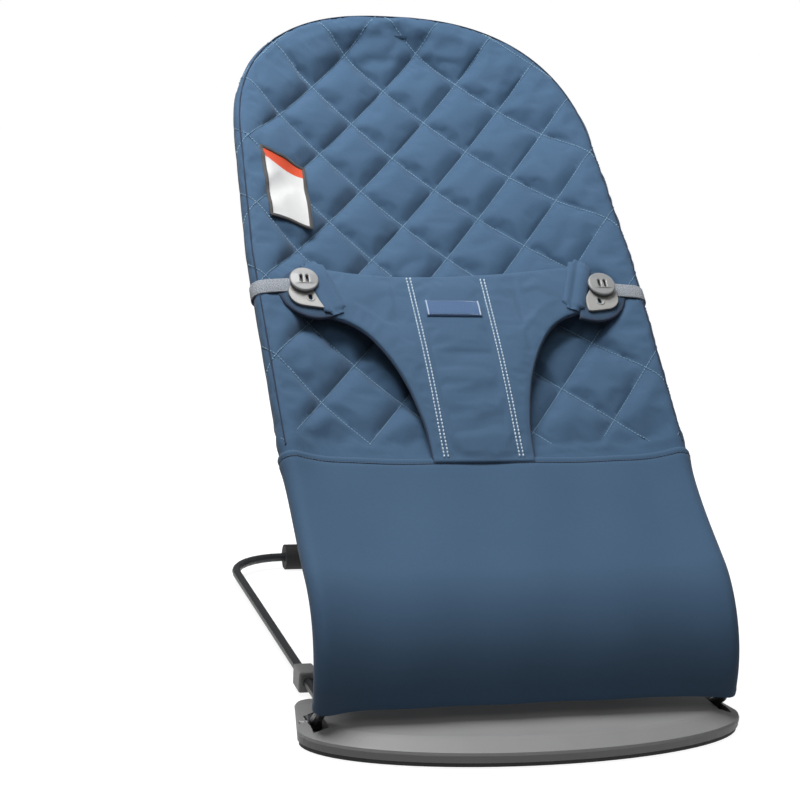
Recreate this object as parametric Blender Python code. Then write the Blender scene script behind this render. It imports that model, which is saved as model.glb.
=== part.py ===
"""A folding bouncer seat for a baby: base, recline support, sprung seat frame, fabric cover and restraint.

+X is to the sitter's side, -Y is the foot end and +Z is up. The floor is z = 0. All sizes are in metres.
Side views are worked out in a flat plane of (y, z) points, with y = 0 at the front of the seat's bend.
"""

from math import cos, pi, radians, sin

import bmesh
import bpy
from mathutils import Matrix, Vector

# Overall layout
MID_Y = 0.2390  # the middle of the object's length, which becomes y = 0
GAP = 0.0003  # clearance between touching pieces
TUBE = 0.0045  # radius of every frame tube

# Side profile of the seat frame: a tight bend at the feet, a slow bend under the seat, a straight back
RISE_START = radians(103)
RISE_SEAT = radians(32)
RISE_BACK = radians(42.4)
FOOT_BEND = 0.120
SEAT_BEND = 0.150
PROFILE_LENGTH = 0.800
PROFILE_Y = -0.007
PROFILE_Z = 0.030
SEAM = 0.245  # distance along the profile at which the front panel meets the quilted cover

# Plan of the seat frame, measured to the outside of its fabric
HALF_FOOT = 0.183
HALF_SEAT = 0.190
HALF_HEAD = 0.177
WIDEST = 0.47
HEAD_CURVE = 0.185
HEAD_POWER = 2.5
TUBE_INSET = 0.0095

# Front plate
PLATE_HALF = 0.1925
PLATE_FRONT = 0.073
PLATE_CENTRE_Y = 0.004
PLATE_REAR_Y = 0.078
PLATE_REAR_HALF = 0.182
PAD_TOP = 0.0040
PLATE_BOTTOM = PAD_TOP + GAP
PLATE_CREST = 0.0134
PLATE_DECK = 0.0195

# Seat pivot in the front plate
PIVOT_Y = 0.020
PIVOT_Z = 0.0125
KNUCKLE = 0.0068
KNUCKLE_HALF = 0.0055
PIVOT_PIN = 0.0025
PIVOT_X = 0.1755

# Base tube and feet
BASE_X = 0.158
BASE_Z = 0.0125
BASE_REAR_Y = 0.520
BASE_CORNER = 0.060
SOCKET_Y = 0.046
FOOT_X = 0.070
FOOT_HALF = 0.026
FOOT = 0.0135

# Support hoop
HINGE_Y = 0.130
BLOCK_HALF_X = 0.0085
HOOP_FOOT_X = 0.1385
HOOP_TOP_X = 0.157
HOOP_CORNER = 0.018
NOTCH_ALONG = 0.330
NOTCH_DEPTH = 0.045
EYE = 0.0085
EYE_HALF = 0.0048
HINGE_PIN = 0.003
SLEEVE = 0.0062

# Recline racks
RACK_X = 0.134
RACK_HALF = 0.006
RACK_TOP = 0.0275
NOTCH_PITCH = 0.016
NOTCHES = 3
COUPLER = 0.0076
COUPLER_LENGTH = 0.044
ROCK_GAP = 0.0019  # lets the side tube rock in its coupler

# Cover
SLEEVE_IN = TUBE + 0.0007
SLEEVE_OUT = 0.0075
COVER_THICK = 0.007
COVER_SAG = 0.040
COVER_SAG_MIN = 0.007
PANEL_THICK = 0.004

# Restraint
NECK_HALF = 0.046
WING_HALF = 0.1335
WING_LOW = 0.305
WING_HIGH = 0.430
RESTRAINT_TOP = 0.456
RESTRAINT_THICK = 0.005
PROUD = 0.006

# Buttons
BUTTON_X = 0.144
BUTTON_ALONG = 0.430
BUTTON_RADIUS = 0.0135
BUTTON_TRAVEL = 0.012
NECK = 0.0030
PLATE_THICK = 0.0026


def clear_scene():
    for old in list(bpy.data.objects):
        bpy.data.objects.remove(old)


def material(name, colour, roughness, metallic=0.0):
    made = bpy.data.materials.new(name)
    made.use_nodes = True
    shader = made.node_tree.nodes["Principled BSDF"]
    shader.inputs["Base Color"].default_value = (*colour, 1.0)
    shader.inputs["Roughness"].default_value = roughness
    shader.inputs["Metallic"].default_value = metallic
    return made


def add_object(name, bm, finish, sharp=35.0, origin=None):
    """Turns a bmesh into a named object; its origin moves to the given world point, if any."""
    bmesh.ops.recalc_face_normals(bm, faces=bm.faces)
    mesh = bpy.data.meshes.new(name)
    if origin is not None:
        bmesh.ops.translate(bm, verts=bm.verts, vec=-Vector(origin))
    bm.to_mesh(mesh)
    bm.free()
    mesh.shade_smooth()
    mesh.set_sharp_from_angle(angle=radians(sharp))
    made = bpy.data.objects.new(name, mesh)
    bpy.context.scene.collection.objects.link(made)
    if origin is not None:
        made.location = origin
    made.data.materials.append(finish)
    return made


def boolean(target, cutter, operation="DIFFERENCE"):
    """Cuts or joins with a guide object that the build leaves out."""
    cutter.hide_render = True
    cutter.display_type = "WIRE"
    step = target.modifiers.new(cutter.name, "BOOLEAN")
    step.operation = operation
    step.solver = "EXACT"
    step.object = cutter


def at(x, y, z):
    """World point of a side-view point."""
    return Vector((x, y - MID_Y, z))


def heading(along):
    """Angle of the seat's profile above the horizontal."""
    if along <= 0.0:
        return RISE_START
    if along < FOOT_BEND:
        return RISE_START + (RISE_SEAT - RISE_START) * along / FOOT_BEND
    if along < FOOT_BEND + SEAT_BEND:
        return RISE_SEAT + (RISE_BACK - RISE_SEAT) * (along - FOOT_BEND) / SEAT_BEND
    return RISE_BACK


def profile_at(along, step=0.001):
    """Side-view point of the seat frame at a distance along it."""
    y = PROFILE_Y
    z = PROFILE_Z
    done = 0.0
    while done < along - 1e-9:
        move = min(step, along - done)
        angle = heading(done + move / 2)
        y += cos(angle) * move
        z += sin(angle) * move
        done += move
    return y, z


def seat_point(x, along, depth=0.0):
    """World point on the seat: depth is measured into the seat, away from the sitter."""
    y, z = profile_at(along)
    angle = heading(along)
    return at(x, y + sin(angle) * depth, z - cos(angle) * depth)


def half_width(along, inset=0.0):
    """Half width of the covered frame, measured this far inside its fabric."""
    if along < WIDEST:
        width = HALF_FOOT + (HALF_SEAT - HALF_FOOT) * along / WIDEST
    else:
        width = HALF_SEAT + (HALF_HEAD - HALF_SEAT) * (along - WIDEST) / (PROFILE_LENGTH - WIDEST)
    share = (along - PROFILE_LENGTH + HEAD_CURVE) / (HEAD_CURVE - inset)
    if share <= 0.0:
        return width - inset
    return (width - inset) * max(1.0 - share**HEAD_POWER, 0.0) ** (1.0 / HEAD_POWER)


def head_arc(inset, count):
    """(x, along) points of the frame's head from its left side to its right, this far inside the fabric."""
    points = []
    start = PROFILE_LENGTH - HEAD_CURVE
    reach = HEAD_CURVE - inset
    for step in range(count + 1):
        turn = pi * step / count
        rise = sin(turn) ** (2.0 / HEAD_POWER)
        along = start + reach * rise
        side = HALF_SEAT + (HALF_HEAD - HALF_SEAT) * (along - WIDEST) / (PROFILE_LENGTH - WIDEST)
        across = abs(cos(turn)) ** (2.0 / HEAD_POWER) * (-1 if turn < pi / 2 else 1)
        points.append((across * (side - inset), along))
    return points


def bridge(bm, first, second):
    count = len(first)
    for i in range(count):
        j = (i + 1) % count
        bm.faces.new((first[i], first[j], second[j], second[i]))


def sweep(bm, path, radius, sides=12, bore=0.0):
    """Round tube along world points, solid or with a bore, closed at both ends."""
    normal = None
    rings = []
    inner = []
    for i, point in enumerate(path):
        before = path[max(i - 1, 0)]
        after = path[min(i + 1, len(path) - 1)]
        forward = (after - before).normalized()
        if normal is None:
            guide = Vector((1, 0, 0)) if abs(forward.x) < 0.8 else Vector((0, 0, 1))
            normal = forward.cross(guide).normalized()
        normal = (normal - forward * normal.dot(forward)).normalized()
        side = forward.cross(normal)
        for reach, out in ((radius, rings), (bore, inner)):
            if reach > 0.0:
                turns = [2 * pi * k / sides for k in range(sides)]
                out.append([bm.verts.new(point + reach * (cos(t) * normal + sin(t) * side)) for t in turns])
    for walls in (rings, inner):
        for first, second in zip(walls, walls[1:]):
            bridge(bm, first, second)
    if inner:
        bridge(bm, rings[0], inner[0])
        bridge(bm, rings[-1], inner[-1])
    else:
        bm.faces.new(rings[0])
        bm.faces.new(rings[-1])


def tube(name, path, radius, finish, sides=12, bore=0.0):
    bm = bmesh.new()
    sweep(bm, path, radius, sides, bore)
    return add_object(name, bm, finish)


def box(name, size, centre, finish, rotation=None, bevel=0.0):
    bm = bmesh.new()
    bmesh.ops.create_cube(bm, size=1.0)
    bmesh.ops.scale(bm, verts=bm.verts, vec=size)
    if bevel > 0.0:
        bmesh.ops.bevel(bm, geom=bm.edges[:], offset=bevel, segments=2, affect="EDGES", profile=0.5)
    if rotation is not None:
        bmesh.ops.rotate(bm, verts=bm.verts, matrix=rotation)
    bmesh.ops.translate(bm, verts=bm.verts, vec=centre)
    return add_object(name, bm, finish)


def cylinder_x(name, x_from, x_to, y, z, radius, finish, sides=24):
    """Cylinder along X through a side-view point."""
    bm = bmesh.new()
    sweep(bm, [at(x_from, y, z), at(x_to, y, z)], radius, sides)
    return add_object(name, bm, finish)


def pan_screw(name, point, direction, finish, head=0.0032, shank=0.0015, length=0.008):
    """Screw with a domed head on the outer side of point, driven along direction."""
    bm = bmesh.new()
    drive = Vector(direction).normalized()
    stations = (
        (-0.0022, head * 0.55),
        (-0.0016, head * 0.88),
        (-GAP, head),
        (-GAP, shank),
        (length, shank),
    )
    guide = Vector((0, 0, 1)) if abs(drive.z) < 0.8 else Vector((1, 0, 0))
    normal = drive.cross(guide).normalized()
    side = drive.cross(normal)
    rings = []
    for depth, radius in stations:
        turns = [2 * pi * k / 12 for k in range(12)]
        rings.append([bm.verts.new(point + drive * depth + radius * (cos(t) * normal + sin(t) * side)) for t in turns])
    for first, second in zip(rings, rings[1:]):
        bridge(bm, first, second)
    bm.faces.new(rings[0])
    bm.faces.new(rings[-1])
    return add_object(name, bm, finish)


def plate_outline(count=40):
    """Half-moon outline: an elliptical front, tapering sides and a shallow hollow at the rear."""
    points = []
    for step in range(count + 1):
        turn = pi * step / count
        points.append((-PLATE_HALF * cos(turn), PLATE_CENTRE_Y - PLATE_FRONT * sin(turn)))
    corner = 0.016
    for step in range(6):
        turn = pi / 2 * step / 5
        x = PLATE_REAR_HALF - corner + corner * cos(turn)
        points.append((x, PLATE_REAR_Y - corner + corner * sin(turn)))
    hollow = 0.034
    reach = PLATE_REAR_HALF - 0.040
    for step in range(13):
        share = 1 - 2 * step / 12
        points.append((reach * share, PLATE_REAR_Y - hollow * (1 - share ** 4)))
    for step in range(6):
        turn = pi / 2 * (1 - step / 5)
        x = -(PLATE_REAR_HALF - corner + corner * cos(turn))
        points.append((x, PLATE_REAR_Y - corner + corner * sin(turn)))
    return points


def loft(bm, outline, levels):
    """Stacked copies of an outline; a level is (z, inset)."""
    rings = []
    for z, inset in levels:
        share_x = 1 - inset / PLATE_HALF
        share_y = 1 - inset / PLATE_FRONT
        ring = [bm.verts.new(at(x * share_x, PLATE_CENTRE_Y + (y - PLATE_CENTRE_Y) * share_y, z)) for x, y in outline]
        rings.append(ring)
    for first, second in zip(rings, rings[1:]):
        bridge(bm, first, second)
    bm.faces.new(rings[0])
    bm.faces.new(rings[-1])


def make_front_plate(grey, guide):
    bm = bmesh.new()
    levels = (
        (PLATE_BOTTOM, 0.0008),
        (PLATE_CREST - 0.0030, 0.0000),
        (PLATE_CREST - 0.0008, 0.0010),
        (PLATE_CREST, 0.0030),
        (PLATE_DECK - 0.0012, 0.0160),
        (PLATE_DECK, 0.0200),
    )
    loft(bm, plate_outline(), levels)
    plate = add_object("front_plate", bm, grey, sharp=50)
    for side in (-1, 1):
        pocket = box(
            "pocket_cut",
            (2 * KNUCKLE_HALF + 0.0016, 0.0400, 0.0300),
            at(side * PIVOT_X, 0.0110, PIVOT_Z - KNUCKLE - 0.0006 + 0.0150),
            guide,
        )
        boolean(plate, pocket)
        pin_hole = cylinder_x(
            "pin_cut", side * PIVOT_X - 0.0120, side * PIVOT_X + 0.0090, PIVOT_Y, PIVOT_Z, PIVOT_PIN + GAP, guide
        )
        boolean(plate, pin_hole)
        bm = bmesh.new()
        sweep(bm, [at(side * BASE_X, SOCKET_Y, BASE_Z), at(side * BASE_X, 0.12, BASE_Z)], TUBE + GAP, 16)
        boolean(plate, add_object("socket_cut", bm, guide))
    bm = bmesh.new()
    loft(bm, plate_outline(), ((0.0, 0.0035), (0.0006, 0.0022), (PAD_TOP, 0.0022)))
    add_object("plate_pad", bm, guide, sharp=50)


def make_pivot(side, steel):
    word = "left" if side < 0 else "right"
    cylinder_x(
        "pivot_pin_" + word,
        side * PIVOT_X - 0.0112,
        side * PIVOT_X + 0.0086,
        PIVOT_Y,
        PIVOT_Z,
        PIVOT_PIN,
        steel,
        16,
    )


def leg_path(side, inset):
    """Centre line of a lower frame wire, from its pivot up to the coupler."""
    points = [at(side * PIVOT_X, PIVOT_Y, PIVOT_Z)]
    points.append(at(side * PIVOT_X, 0.0090, 0.0200))
    points.append(at(side * PIVOT_X, -0.0005, 0.0268))
    for along in [*leg_stations(), SEAM - 0.012]:
        points.append(seat_point(side * (half_width(along) - inset), along))
    return points


def leg_stations(count=14):
    """Distances along the profile at which the lower frame and its sleeves bend."""
    start = 0.008
    return [start + (SEAM - 0.028 - start) * step / count for step in range(count + 1)]


def make_leg(side, dark, guide):
    word = "left" if side < 0 else "right"
    leg = tube("seat_leg_" + word, leg_path(side, TUBE_INSET), TUBE, dark)
    x = side * PIVOT_X
    eye = cylinder_x("eye_join", x - KNUCKLE_HALF, x + KNUCKLE_HALF, PIVOT_Y, PIVOT_Z, KNUCKLE, guide)
    boolean(leg, eye, "UNION")
    hole = cylinder_x("eye_cut", x - 0.02, x + 0.02, PIVOT_Y, PIVOT_Z, PIVOT_PIN + GAP, guide, 16)
    boolean(leg, hole)


def make_base(dark, rubber, grey, steel, guide):
    points = [at(-BASE_X, SOCKET_Y + 0.002, BASE_Z)]
    rear = BASE_REAR_Y
    for side in (-1, 1):
        arc = []
        for step in range(9):
            turn = pi / 2 * step / 8
            x = side * (BASE_X - BASE_CORNER + BASE_CORNER * cos(turn))
            arc.append(at(x, rear - BASE_CORNER + BASE_CORNER * sin(turn), BASE_Z))
        points += arc if side < 0 else arc[::-1]
    points.append(at(BASE_X, SOCKET_Y + 0.002, BASE_Z))
    tube("base_frame", points, TUBE, dark, 12)
    for side in (-1, 1):
        word = "left" if side < 0 else "right"
        x = side * FOOT_X
        bm = bmesh.new()
        sweep(bm, [at(x - FOOT_HALF, rear, BASE_Z), at(x + FOOT_HALF, rear, BASE_Z)], FOOT, 24)
        foot = add_object("rear_foot_" + word, bm, rubber)
        hole = cylinder_x("foot_cut", x - 0.05, x + 0.05, rear, BASE_Z, TUBE + GAP, guide, 16)
        boolean(foot, hole)
        floor = box("floor_cut", (0.2, 0.2, 0.02), at(x, rear, -0.01), guide)
        boolean(foot, floor)
        block = box(
            "hinge_block_" + word,
            (2 * BLOCK_HALF_X, 0.026, 0.019),
            at(side * BASE_X, HINGE_Y, BASE_Z),
            grey,
            bevel=0.002,
        )
        bm = bmesh.new()
        sweep(bm, [at(side * BASE_X, HINGE_Y - 0.03, BASE_Z), at(side * BASE_X, HINGE_Y + 0.03, BASE_Z)], TUBE + GAP, 16)
        boolean(block, add_object("block_cut", bm, guide))
        inner = side * (BASE_X - BLOCK_HALF_X - GAP)
        cylinder_x("hinge_pin_" + word, inner, side * (HOOP_FOOT_X - EYE_HALF - 0.002), HINGE_Y, BASE_Z, HINGE_PIN, steel, 16)


def hoop_apex():
    """Side-view point of the hoop's crossbar in the top notch."""
    y, z = profile_at(NOTCH_ALONG)
    angle = heading(NOTCH_ALONG)
    return y + sin(angle) * NOTCH_DEPTH, z - cos(angle) * NOTCH_DEPTH


def make_hoop(dark, grey, guide):
    y, z = hoop_apex()
    foot = [at(-HOOP_FOOT_X, HINGE_Y, BASE_Z)]
    lean = Vector((0, y - HINGE_Y, z - BASE_Z))
    up = lean.normalized()
    foot.append(foot[0] + up * 0.020)
    left = []
    for step in range(7):
        turn = pi / 2 * step / 6
        x = -(HOOP_TOP_X - HOOP_CORNER + HOOP_CORNER * cos(turn))
        left.append(at(x, y, z) - up * HOOP_CORNER * (1 - sin(turn)))
    half = foot + left
    mirrored = [Vector((-point.x, point.y, point.z)) for point in reversed(half)]
    bm = bmesh.new()
    sweep(bm, half + mirrored, TUBE, 12)
    hoop = add_object("support_hoop", bm, dark, origin=at(0, HINGE_Y, BASE_Z))
    for side in (-1, 1):
        x = side * HOOP_FOOT_X
        boolean(hoop, cylinder_x("hoop_eye", x - EYE_HALF, x + EYE_HALF, HINGE_Y, BASE_Z, EYE, guide), "UNION")
        boolean(hoop, cylinder_x("hoop_cut", x - 0.01, x + 0.01, HINGE_Y, BASE_Z, HINGE_PIN + GAP, guide, 16))
    bm = bmesh.new()
    sweep(bm, [at(-0.060, y, z), at(0.060, y, z)], SLEEVE, 16, TUBE + GAP)
    add_object("hoop_sleeve", bm, grey, origin=at(0, HINGE_Y, BASE_Z))


def seat_turn():
    """Turns a piece built flat, with its length along Y, onto the straight part of the back."""
    return Matrix.Rotation(RISE_BACK, 3, "X")


def make_coupler(side, grey, guide):
    word = "left" if side < 0 else "right"
    x = side * (half_width(SEAM) - TUBE_INSET)
    size = (2 * COUPLER, COUPLER_LENGTH, 2 * COUPLER)
    turn = Matrix.Rotation(heading(SEAM), 3, "X")
    coupler = box("frame_coupler_" + word, size, seat_point(x, SEAM), grey, turn, 0.003)
    low = [seat_point(side * (half_width(a) - TUBE_INSET), a) for a in (SEAM - 0.040, SEAM - 0.020, SEAM)]
    bm = bmesh.new()
    sweep(bm, low, TUBE + GAP, 16)
    boolean(coupler, add_object("coupler_low_cut", bm, guide))
    high = [seat_point(side * (half_width(a) - TUBE_INSET), a) for a in (SEAM - 0.004, SEAM + 0.020, SEAM + 0.040)]
    bm = bmesh.new()
    sweep(bm, high, TUBE + ROCK_GAP, 16)
    boolean(coupler, add_object("coupler_high_cut", bm, guide))


def rack_outline():
    """(along, depth) outline of a rack: a bar with rounded notches in its lower edge."""
    bar_top = NOTCH_DEPTH - TUBE - GAP
    points = [(SEAM - 0.018, 0.0100), (SEAM + 0.016, 0.0100), (SEAM + 0.030, RACK_TOP)]
    last = NOTCH_ALONG + NOTCH_PITCH * (NOTCHES - 1) + 0.012
    points += [(last - 0.003, RACK_TOP), (last, RACK_TOP + 0.003), (last, bar_top + 0.0020)]
    radius = TUBE + GAP
    for index in reversed(range(NOTCHES)):
        centre = NOTCH_ALONG + NOTCH_PITCH * index
        for step in range(7):
            turn = radians(28 + 124 * step / 6)
            points.append((centre + radius * cos(turn), NOTCH_DEPTH - radius * sin(turn)))
    points += [(NOTCH_ALONG - 0.008, NOTCH_DEPTH + 0.0035), (NOTCH_ALONG - 0.014, NOTCH_DEPTH + 0.001)]
    points += [(SEAM + 0.030, bar_top + 0.002), (SEAM - 0.014, 0.0240), (SEAM - 0.018, 0.0200)]
    return points


def make_rack(side, grey, guide):
    word = "left" if side < 0 else "right"
    bm = bmesh.new()
    rings = []
    for x in (RACK_X - RACK_HALF, RACK_X + RACK_HALF):
        rings.append([bm.verts.new(seat_point(side * x, along, depth)) for along, depth in rack_outline()])
    bridge(bm, rings[0], rings[1])
    bm.faces.new(rings[0])
    bm.faces.new(rings[1])
    rack = add_object("recline_rack_" + word, bm, grey, sharp=25)
    outer = half_width(SEAM) - TUBE_INSET - COUPLER - GAP
    inner = RACK_X + RACK_HALF - 0.003
    centre = seat_point(side * (outer + inner) / 2, SEAM, 0.0150)
    turn = Matrix.Rotation(heading(SEAM), 3, "X")
    arm = box("rack_arm", (outer - inner, 0.026, 0.0095), centre, guide, turn, 0.001)
    boolean(rack, arm, "UNION")


def make_back_frame(dark):
    start = SEAM + 0.002
    joint = PROFILE_LENGTH - HEAD_CURVE - 0.010
    for side in (-1, 1):
        word = "left" if side < 0 else "right"
        path = []
        for along in (start, SEAM + 0.030, 0.36, WIDEST, 0.54, joint - 0.001):
            path.append(seat_point(side * (half_width(along) - TUBE_INSET), along))
        tube("side_tube_" + word, path, TUBE, dark)
    head = [seat_point(x, along) for x, along in head_arc(TUBE_INSET, 22)]
    ends = [seat_point(side * (half_width(joint) - TUBE_INSET), joint) for side in (-1, 1)]
    tube("head_bow", [ends[0]] + head + [ends[1]], TUBE, dark)


def make_sleeves(fabric):
    for side in (-1, 1):
        word = "left" if side < 0 else "right"
        low = []
        for along in leg_stations():
            low.append(seat_point(side * (half_width(along) - TUBE_INSET), along))
        tube("front_sleeve_" + word, low, SLEEVE_OUT, fabric, 10, SLEEVE_IN)
        high = []
        for along in (SEAM + 0.026, 0.36, WIDEST, 0.54, PROFILE_LENGTH - HEAD_CURVE - 0.012):
            high.append(seat_point(side * (half_width(along) - TUBE_INSET), along))
        tube("cover_sleeve_" + word, high, SLEEVE_OUT, fabric, 10, SLEEVE_IN)
    head = [seat_point(x, along) for x, along in head_arc(TUBE_INSET, 22)]
    tube("cover_sleeve_head", head, SLEEVE_OUT, fabric, 10, SLEEVE_IN)


def cover_depth(x, along, half):
    """Sag of the quilted cover below the frame's plane."""
    share = (along - SEAM) / (PROFILE_LENGTH - SEAM)
    deep = COVER_SAG_MIN + (COVER_SAG - COVER_SAG_MIN) * max(sin(pi * share), 0.0) ** 0.8
    return deep * (1 - (x / half) ** 2)


def slab(name, rows, columns, place, thick, fabric):
    """Closed sheet solid: place(u, v) gives (x, along, depth) with u from -1 to 1 and v from 0 to 1."""
    bm = bmesh.new()
    layers = []
    for offset in (0.0, thick):
        layer = []
        for row in range(rows + 1):
            line = []
            for column in range(columns + 1):
                x, along, depth = place(2 * column / columns - 1, row / rows)
                line.append(bm.verts.new(seat_point(x, along, depth + offset)))
            layer.append(line)
        layers.append(layer)
    for layer in layers:
        for row in range(rows):
            for column in range(columns):
                a = layer[row][column]
                b = layer[row][column + 1]
                c = layer[row + 1][column + 1]
                d = layer[row + 1][column]
                bm.faces.new((a, b, c, d))
    top = border(layers[0])
    under = border(layers[1])
    bridge(bm, top, under)
    return add_object(name, bm, fabric, sharp=60)


def border(layer):
    """The rim vertices of a grid, in order."""
    loop = list(layer[0])
    loop += [line[-1] for line in layer[1:-1]]
    loop += list(reversed(layer[-1]))
    loop += [line[0] for line in reversed(layer[1:-1])]
    return loop


def place_cover(u, v):
    inset = TUBE_INSET + SLEEVE_OUT + 0.0026
    along = SEAM + 0.001 + (PROFILE_LENGTH - inset - 0.004 - SEAM) * v
    half = half_width(along, inset)
    clear = half - 0.0035 if along < SEAM + 0.03 else half
    x = u * clear
    return x, along, cover_depth(x, along, half) - COVER_THICK / 2


def place_panel(u, v):
    along = 0.010 + (SEAM - 0.003 - 0.010) * v
    half = half_width(along) - TUBE_INSET - SLEEVE_OUT - 0.0012
    clear = half - 0.0035 if along > SEAM - 0.03 else half
    x = u * clear
    return x, along, 0.006 * (1 - u * u) * v - PANEL_THICK / 2


def wing(along):
    """Half width of the restraint at a distance along the seat."""
    share = min(max((along - WING_LOW) / (WING_HIGH - WING_LOW), 0.0), 1.0)
    return NECK_HALF + (WING_HALF - NECK_HALF) * share ** 2.2


def place_restraint(u, v):
    along = SEAM + 0.006 + (RESTRAINT_TOP - SEAM - 0.006) * v
    x = u * wing(along)
    reach = x / WING_HALF
    rise = max(sin(pi / 2 * min(v * 1.5, 1.0)), 0.0)
    depth = -0.0075 - (PROUD - 0.0045) * rise * (1 - 0.35 * reach * reach)
    return x, along - 0.006 * v * (1 - reach * reach), depth


def make_restraint(fabric):
    slab("restraint_panel", 12, 8, place_restraint, RESTRAINT_THICK, fabric)


def make_fastening(side, grey, button_grey, webbing, guide):
    """Keyhole plate on the wing, the button in it and the strap that holds the button to the frame."""
    word = "left" if side < 0 else "right"
    level = -PROUD - 0.0060
    turn = seat_turn()
    x = side * BUTTON_X
    size = (0.0300, 0.0420, PLATE_THICK)
    plate = box(
        "keyhole_plate_" + word,
        size,
        seat_point(x, BUTTON_ALONG - 0.006, level),
        grey,
        turn,
        0.0011,
    )
    slot = box(
        "slot_cut",
        (2 * NECK + 0.0014, BUTTON_TRAVEL, 0.02),
        seat_point(x, BUTTON_ALONG - BUTTON_TRAVEL / 2, level),
        guide,
        turn,
    )
    boolean(plate, slot)
    for along, radius in ((BUTTON_ALONG, NECK + 0.0007), (BUTTON_ALONG - BUTTON_TRAVEL, 0.0060)):
        bm = bmesh.new()
        sweep(bm, [seat_point(x, along, level - 0.01), seat_point(x, along, level + 0.01)], radius, 16)
        boolean(plate, add_object("hole_cut", bm, guide))
    make_button(side, level, button_grey)
    reach = half_width(BUTTON_ALONG) - 0.0015
    strap_points = (
        (BUTTON_X + 0.0092, -0.0095),
        (BUTTON_X + 0.0200, -0.0100),
        (BUTTON_X + 0.0330, -0.0108),
        (reach, -0.0088),
    )
    make_strap("strap_" + word, side, strap_points, webbing)


def make_button(side, level, finish):
    """Turned button: domed disc, neck through the plate and a flange behind it."""
    word = "left" if side < 0 else "right"
    stations = (
        (-0.0068, 0.0045),
        (-0.0064, 0.0095),
        (-0.0048, 0.0128),
        (-0.0030, BUTTON_RADIUS),
        (-0.0018, BUTTON_RADIUS - 0.0008),
        (-0.0018, NECK),
        (0.0018, NECK),
        (0.0018, 0.0085),
        (0.0040, 0.0085),
    )
    x = side * BUTTON_X
    bm = bmesh.new()
    rings = []
    for depth, radius in stations:
        ring = []
        centre = seat_point(x, BUTTON_ALONG, level + depth)
        for k in range(24):
            t = 2 * pi * k / 24
            along = Vector((0, cos(RISE_BACK), sin(RISE_BACK)))
            ring.append(bm.verts.new(centre + radius * (cos(t) * Vector((1, 0, 0)) + sin(t) * along)))
        rings.append(ring)
    for first, second in zip(rings, rings[1:]):
        bridge(bm, first, second)
    bm.faces.new(rings[0])
    bm.faces.new(rings[-1])
    add_object("button_" + word, bm, finish, origin=seat_point(x, BUTTON_ALONG, level))


def make_strap(name, side, points, webbing, half=0.0100, thick=0.0014):
    bm = bmesh.new()
    rings = []
    for x, depth in points:
        ring = []
        for along, extra in ((-half, 0), (half, 0), (half, thick), (-half, thick)):
            ring.append(bm.verts.new(seat_point(side * x, BUTTON_ALONG + along, depth + extra)))
        rings.append(ring)
    for first, second in zip(rings, rings[1:]):
        bridge(bm, first, second)
    bm.faces.new(rings[0])
    bm.faces.new(rings[-1])
    add_object(name, bm, webbing)


def place_patch(u, v):
    x = -0.139 + 0.016 * u
    along = 0.560 + 0.036 * (2 * v - 1)
    half = half_width(along, TUBE_INSET + SLEEVE_OUT + 0.0026)
    return x, along, cover_depth(x, along, half) - COVER_THICK / 2 - 0.0022


def make_labels(tag_cloth, patch_cloth):
    turn = seat_turn()
    box("woven_tag", (0.050, 0.014, 0.0008), seat_point(-0.004, 0.402, -0.0105), tag_cloth, turn)
    slab("sewn_patch", 2, 2, place_patch, 0.0008, patch_cloth)


def build():
    clear_scene()
    grey = material("plate_plastic", (0.22, 0.23, 0.24), 0.5)
    mid = material("moulded_grey", (0.35, 0.36, 0.37), 0.45)
    dark = material("dark_steel", (0.05, 0.05, 0.055), 0.4, 0.6)
    steel = material("pin_steel", (0.6, 0.6, 0.6), 0.35, 1.0)
    rubber = material("rubber", (0.03, 0.03, 0.03), 0.8)
    fabric = material("blue_cotton", (0.10, 0.16, 0.26), 0.9)
    plain = material("plain_cotton", (0.10, 0.15, 0.24), 0.9)
    webbing = material("grey_webbing", (0.45, 0.46, 0.48), 0.9)
    tag_cloth = material("tag_cloth", (0.2, 0.26, 0.33), 0.8)
    patch_cloth = material("patch_cloth", (0.8, 0.8, 0.8), 0.8)
    make_front_plate(grey, rubber)
    for side in (-1, 1):
        make_pivot(side, steel)
        make_leg(side, dark, steel)
        make_coupler(side, grey, rubber)
        make_rack(side, grey, rubber)
    make_base(dark, rubber, grey, steel, mid)
    make_hoop(dark, grey, steel)
    make_back_frame(dark)
    make_sleeves(fabric)
    slab("quilted_cover", 22, 12, place_cover, COVER_THICK, fabric)
    slab("front_panel", 14, 6, place_panel, PANEL_THICK, plain)
    make_restraint(fabric)
    for side in (-1, 1):
        make_fastening(side, mid, grey, webbing, rubber)
    make_labels(tag_cloth, patch_cloth)


build()
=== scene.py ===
"""Looks of a folding bouncer seat: quilted cover, front panel, restraint, plate and wire frame."""

from math import cos, pi, radians, sin, tau

import bpy
import numpy as np
from mathutils import Matrix, Vector
from mathutils.bvhtree import BVHTree
from mathutils.geometry import delaunay_2d_cdt


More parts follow.
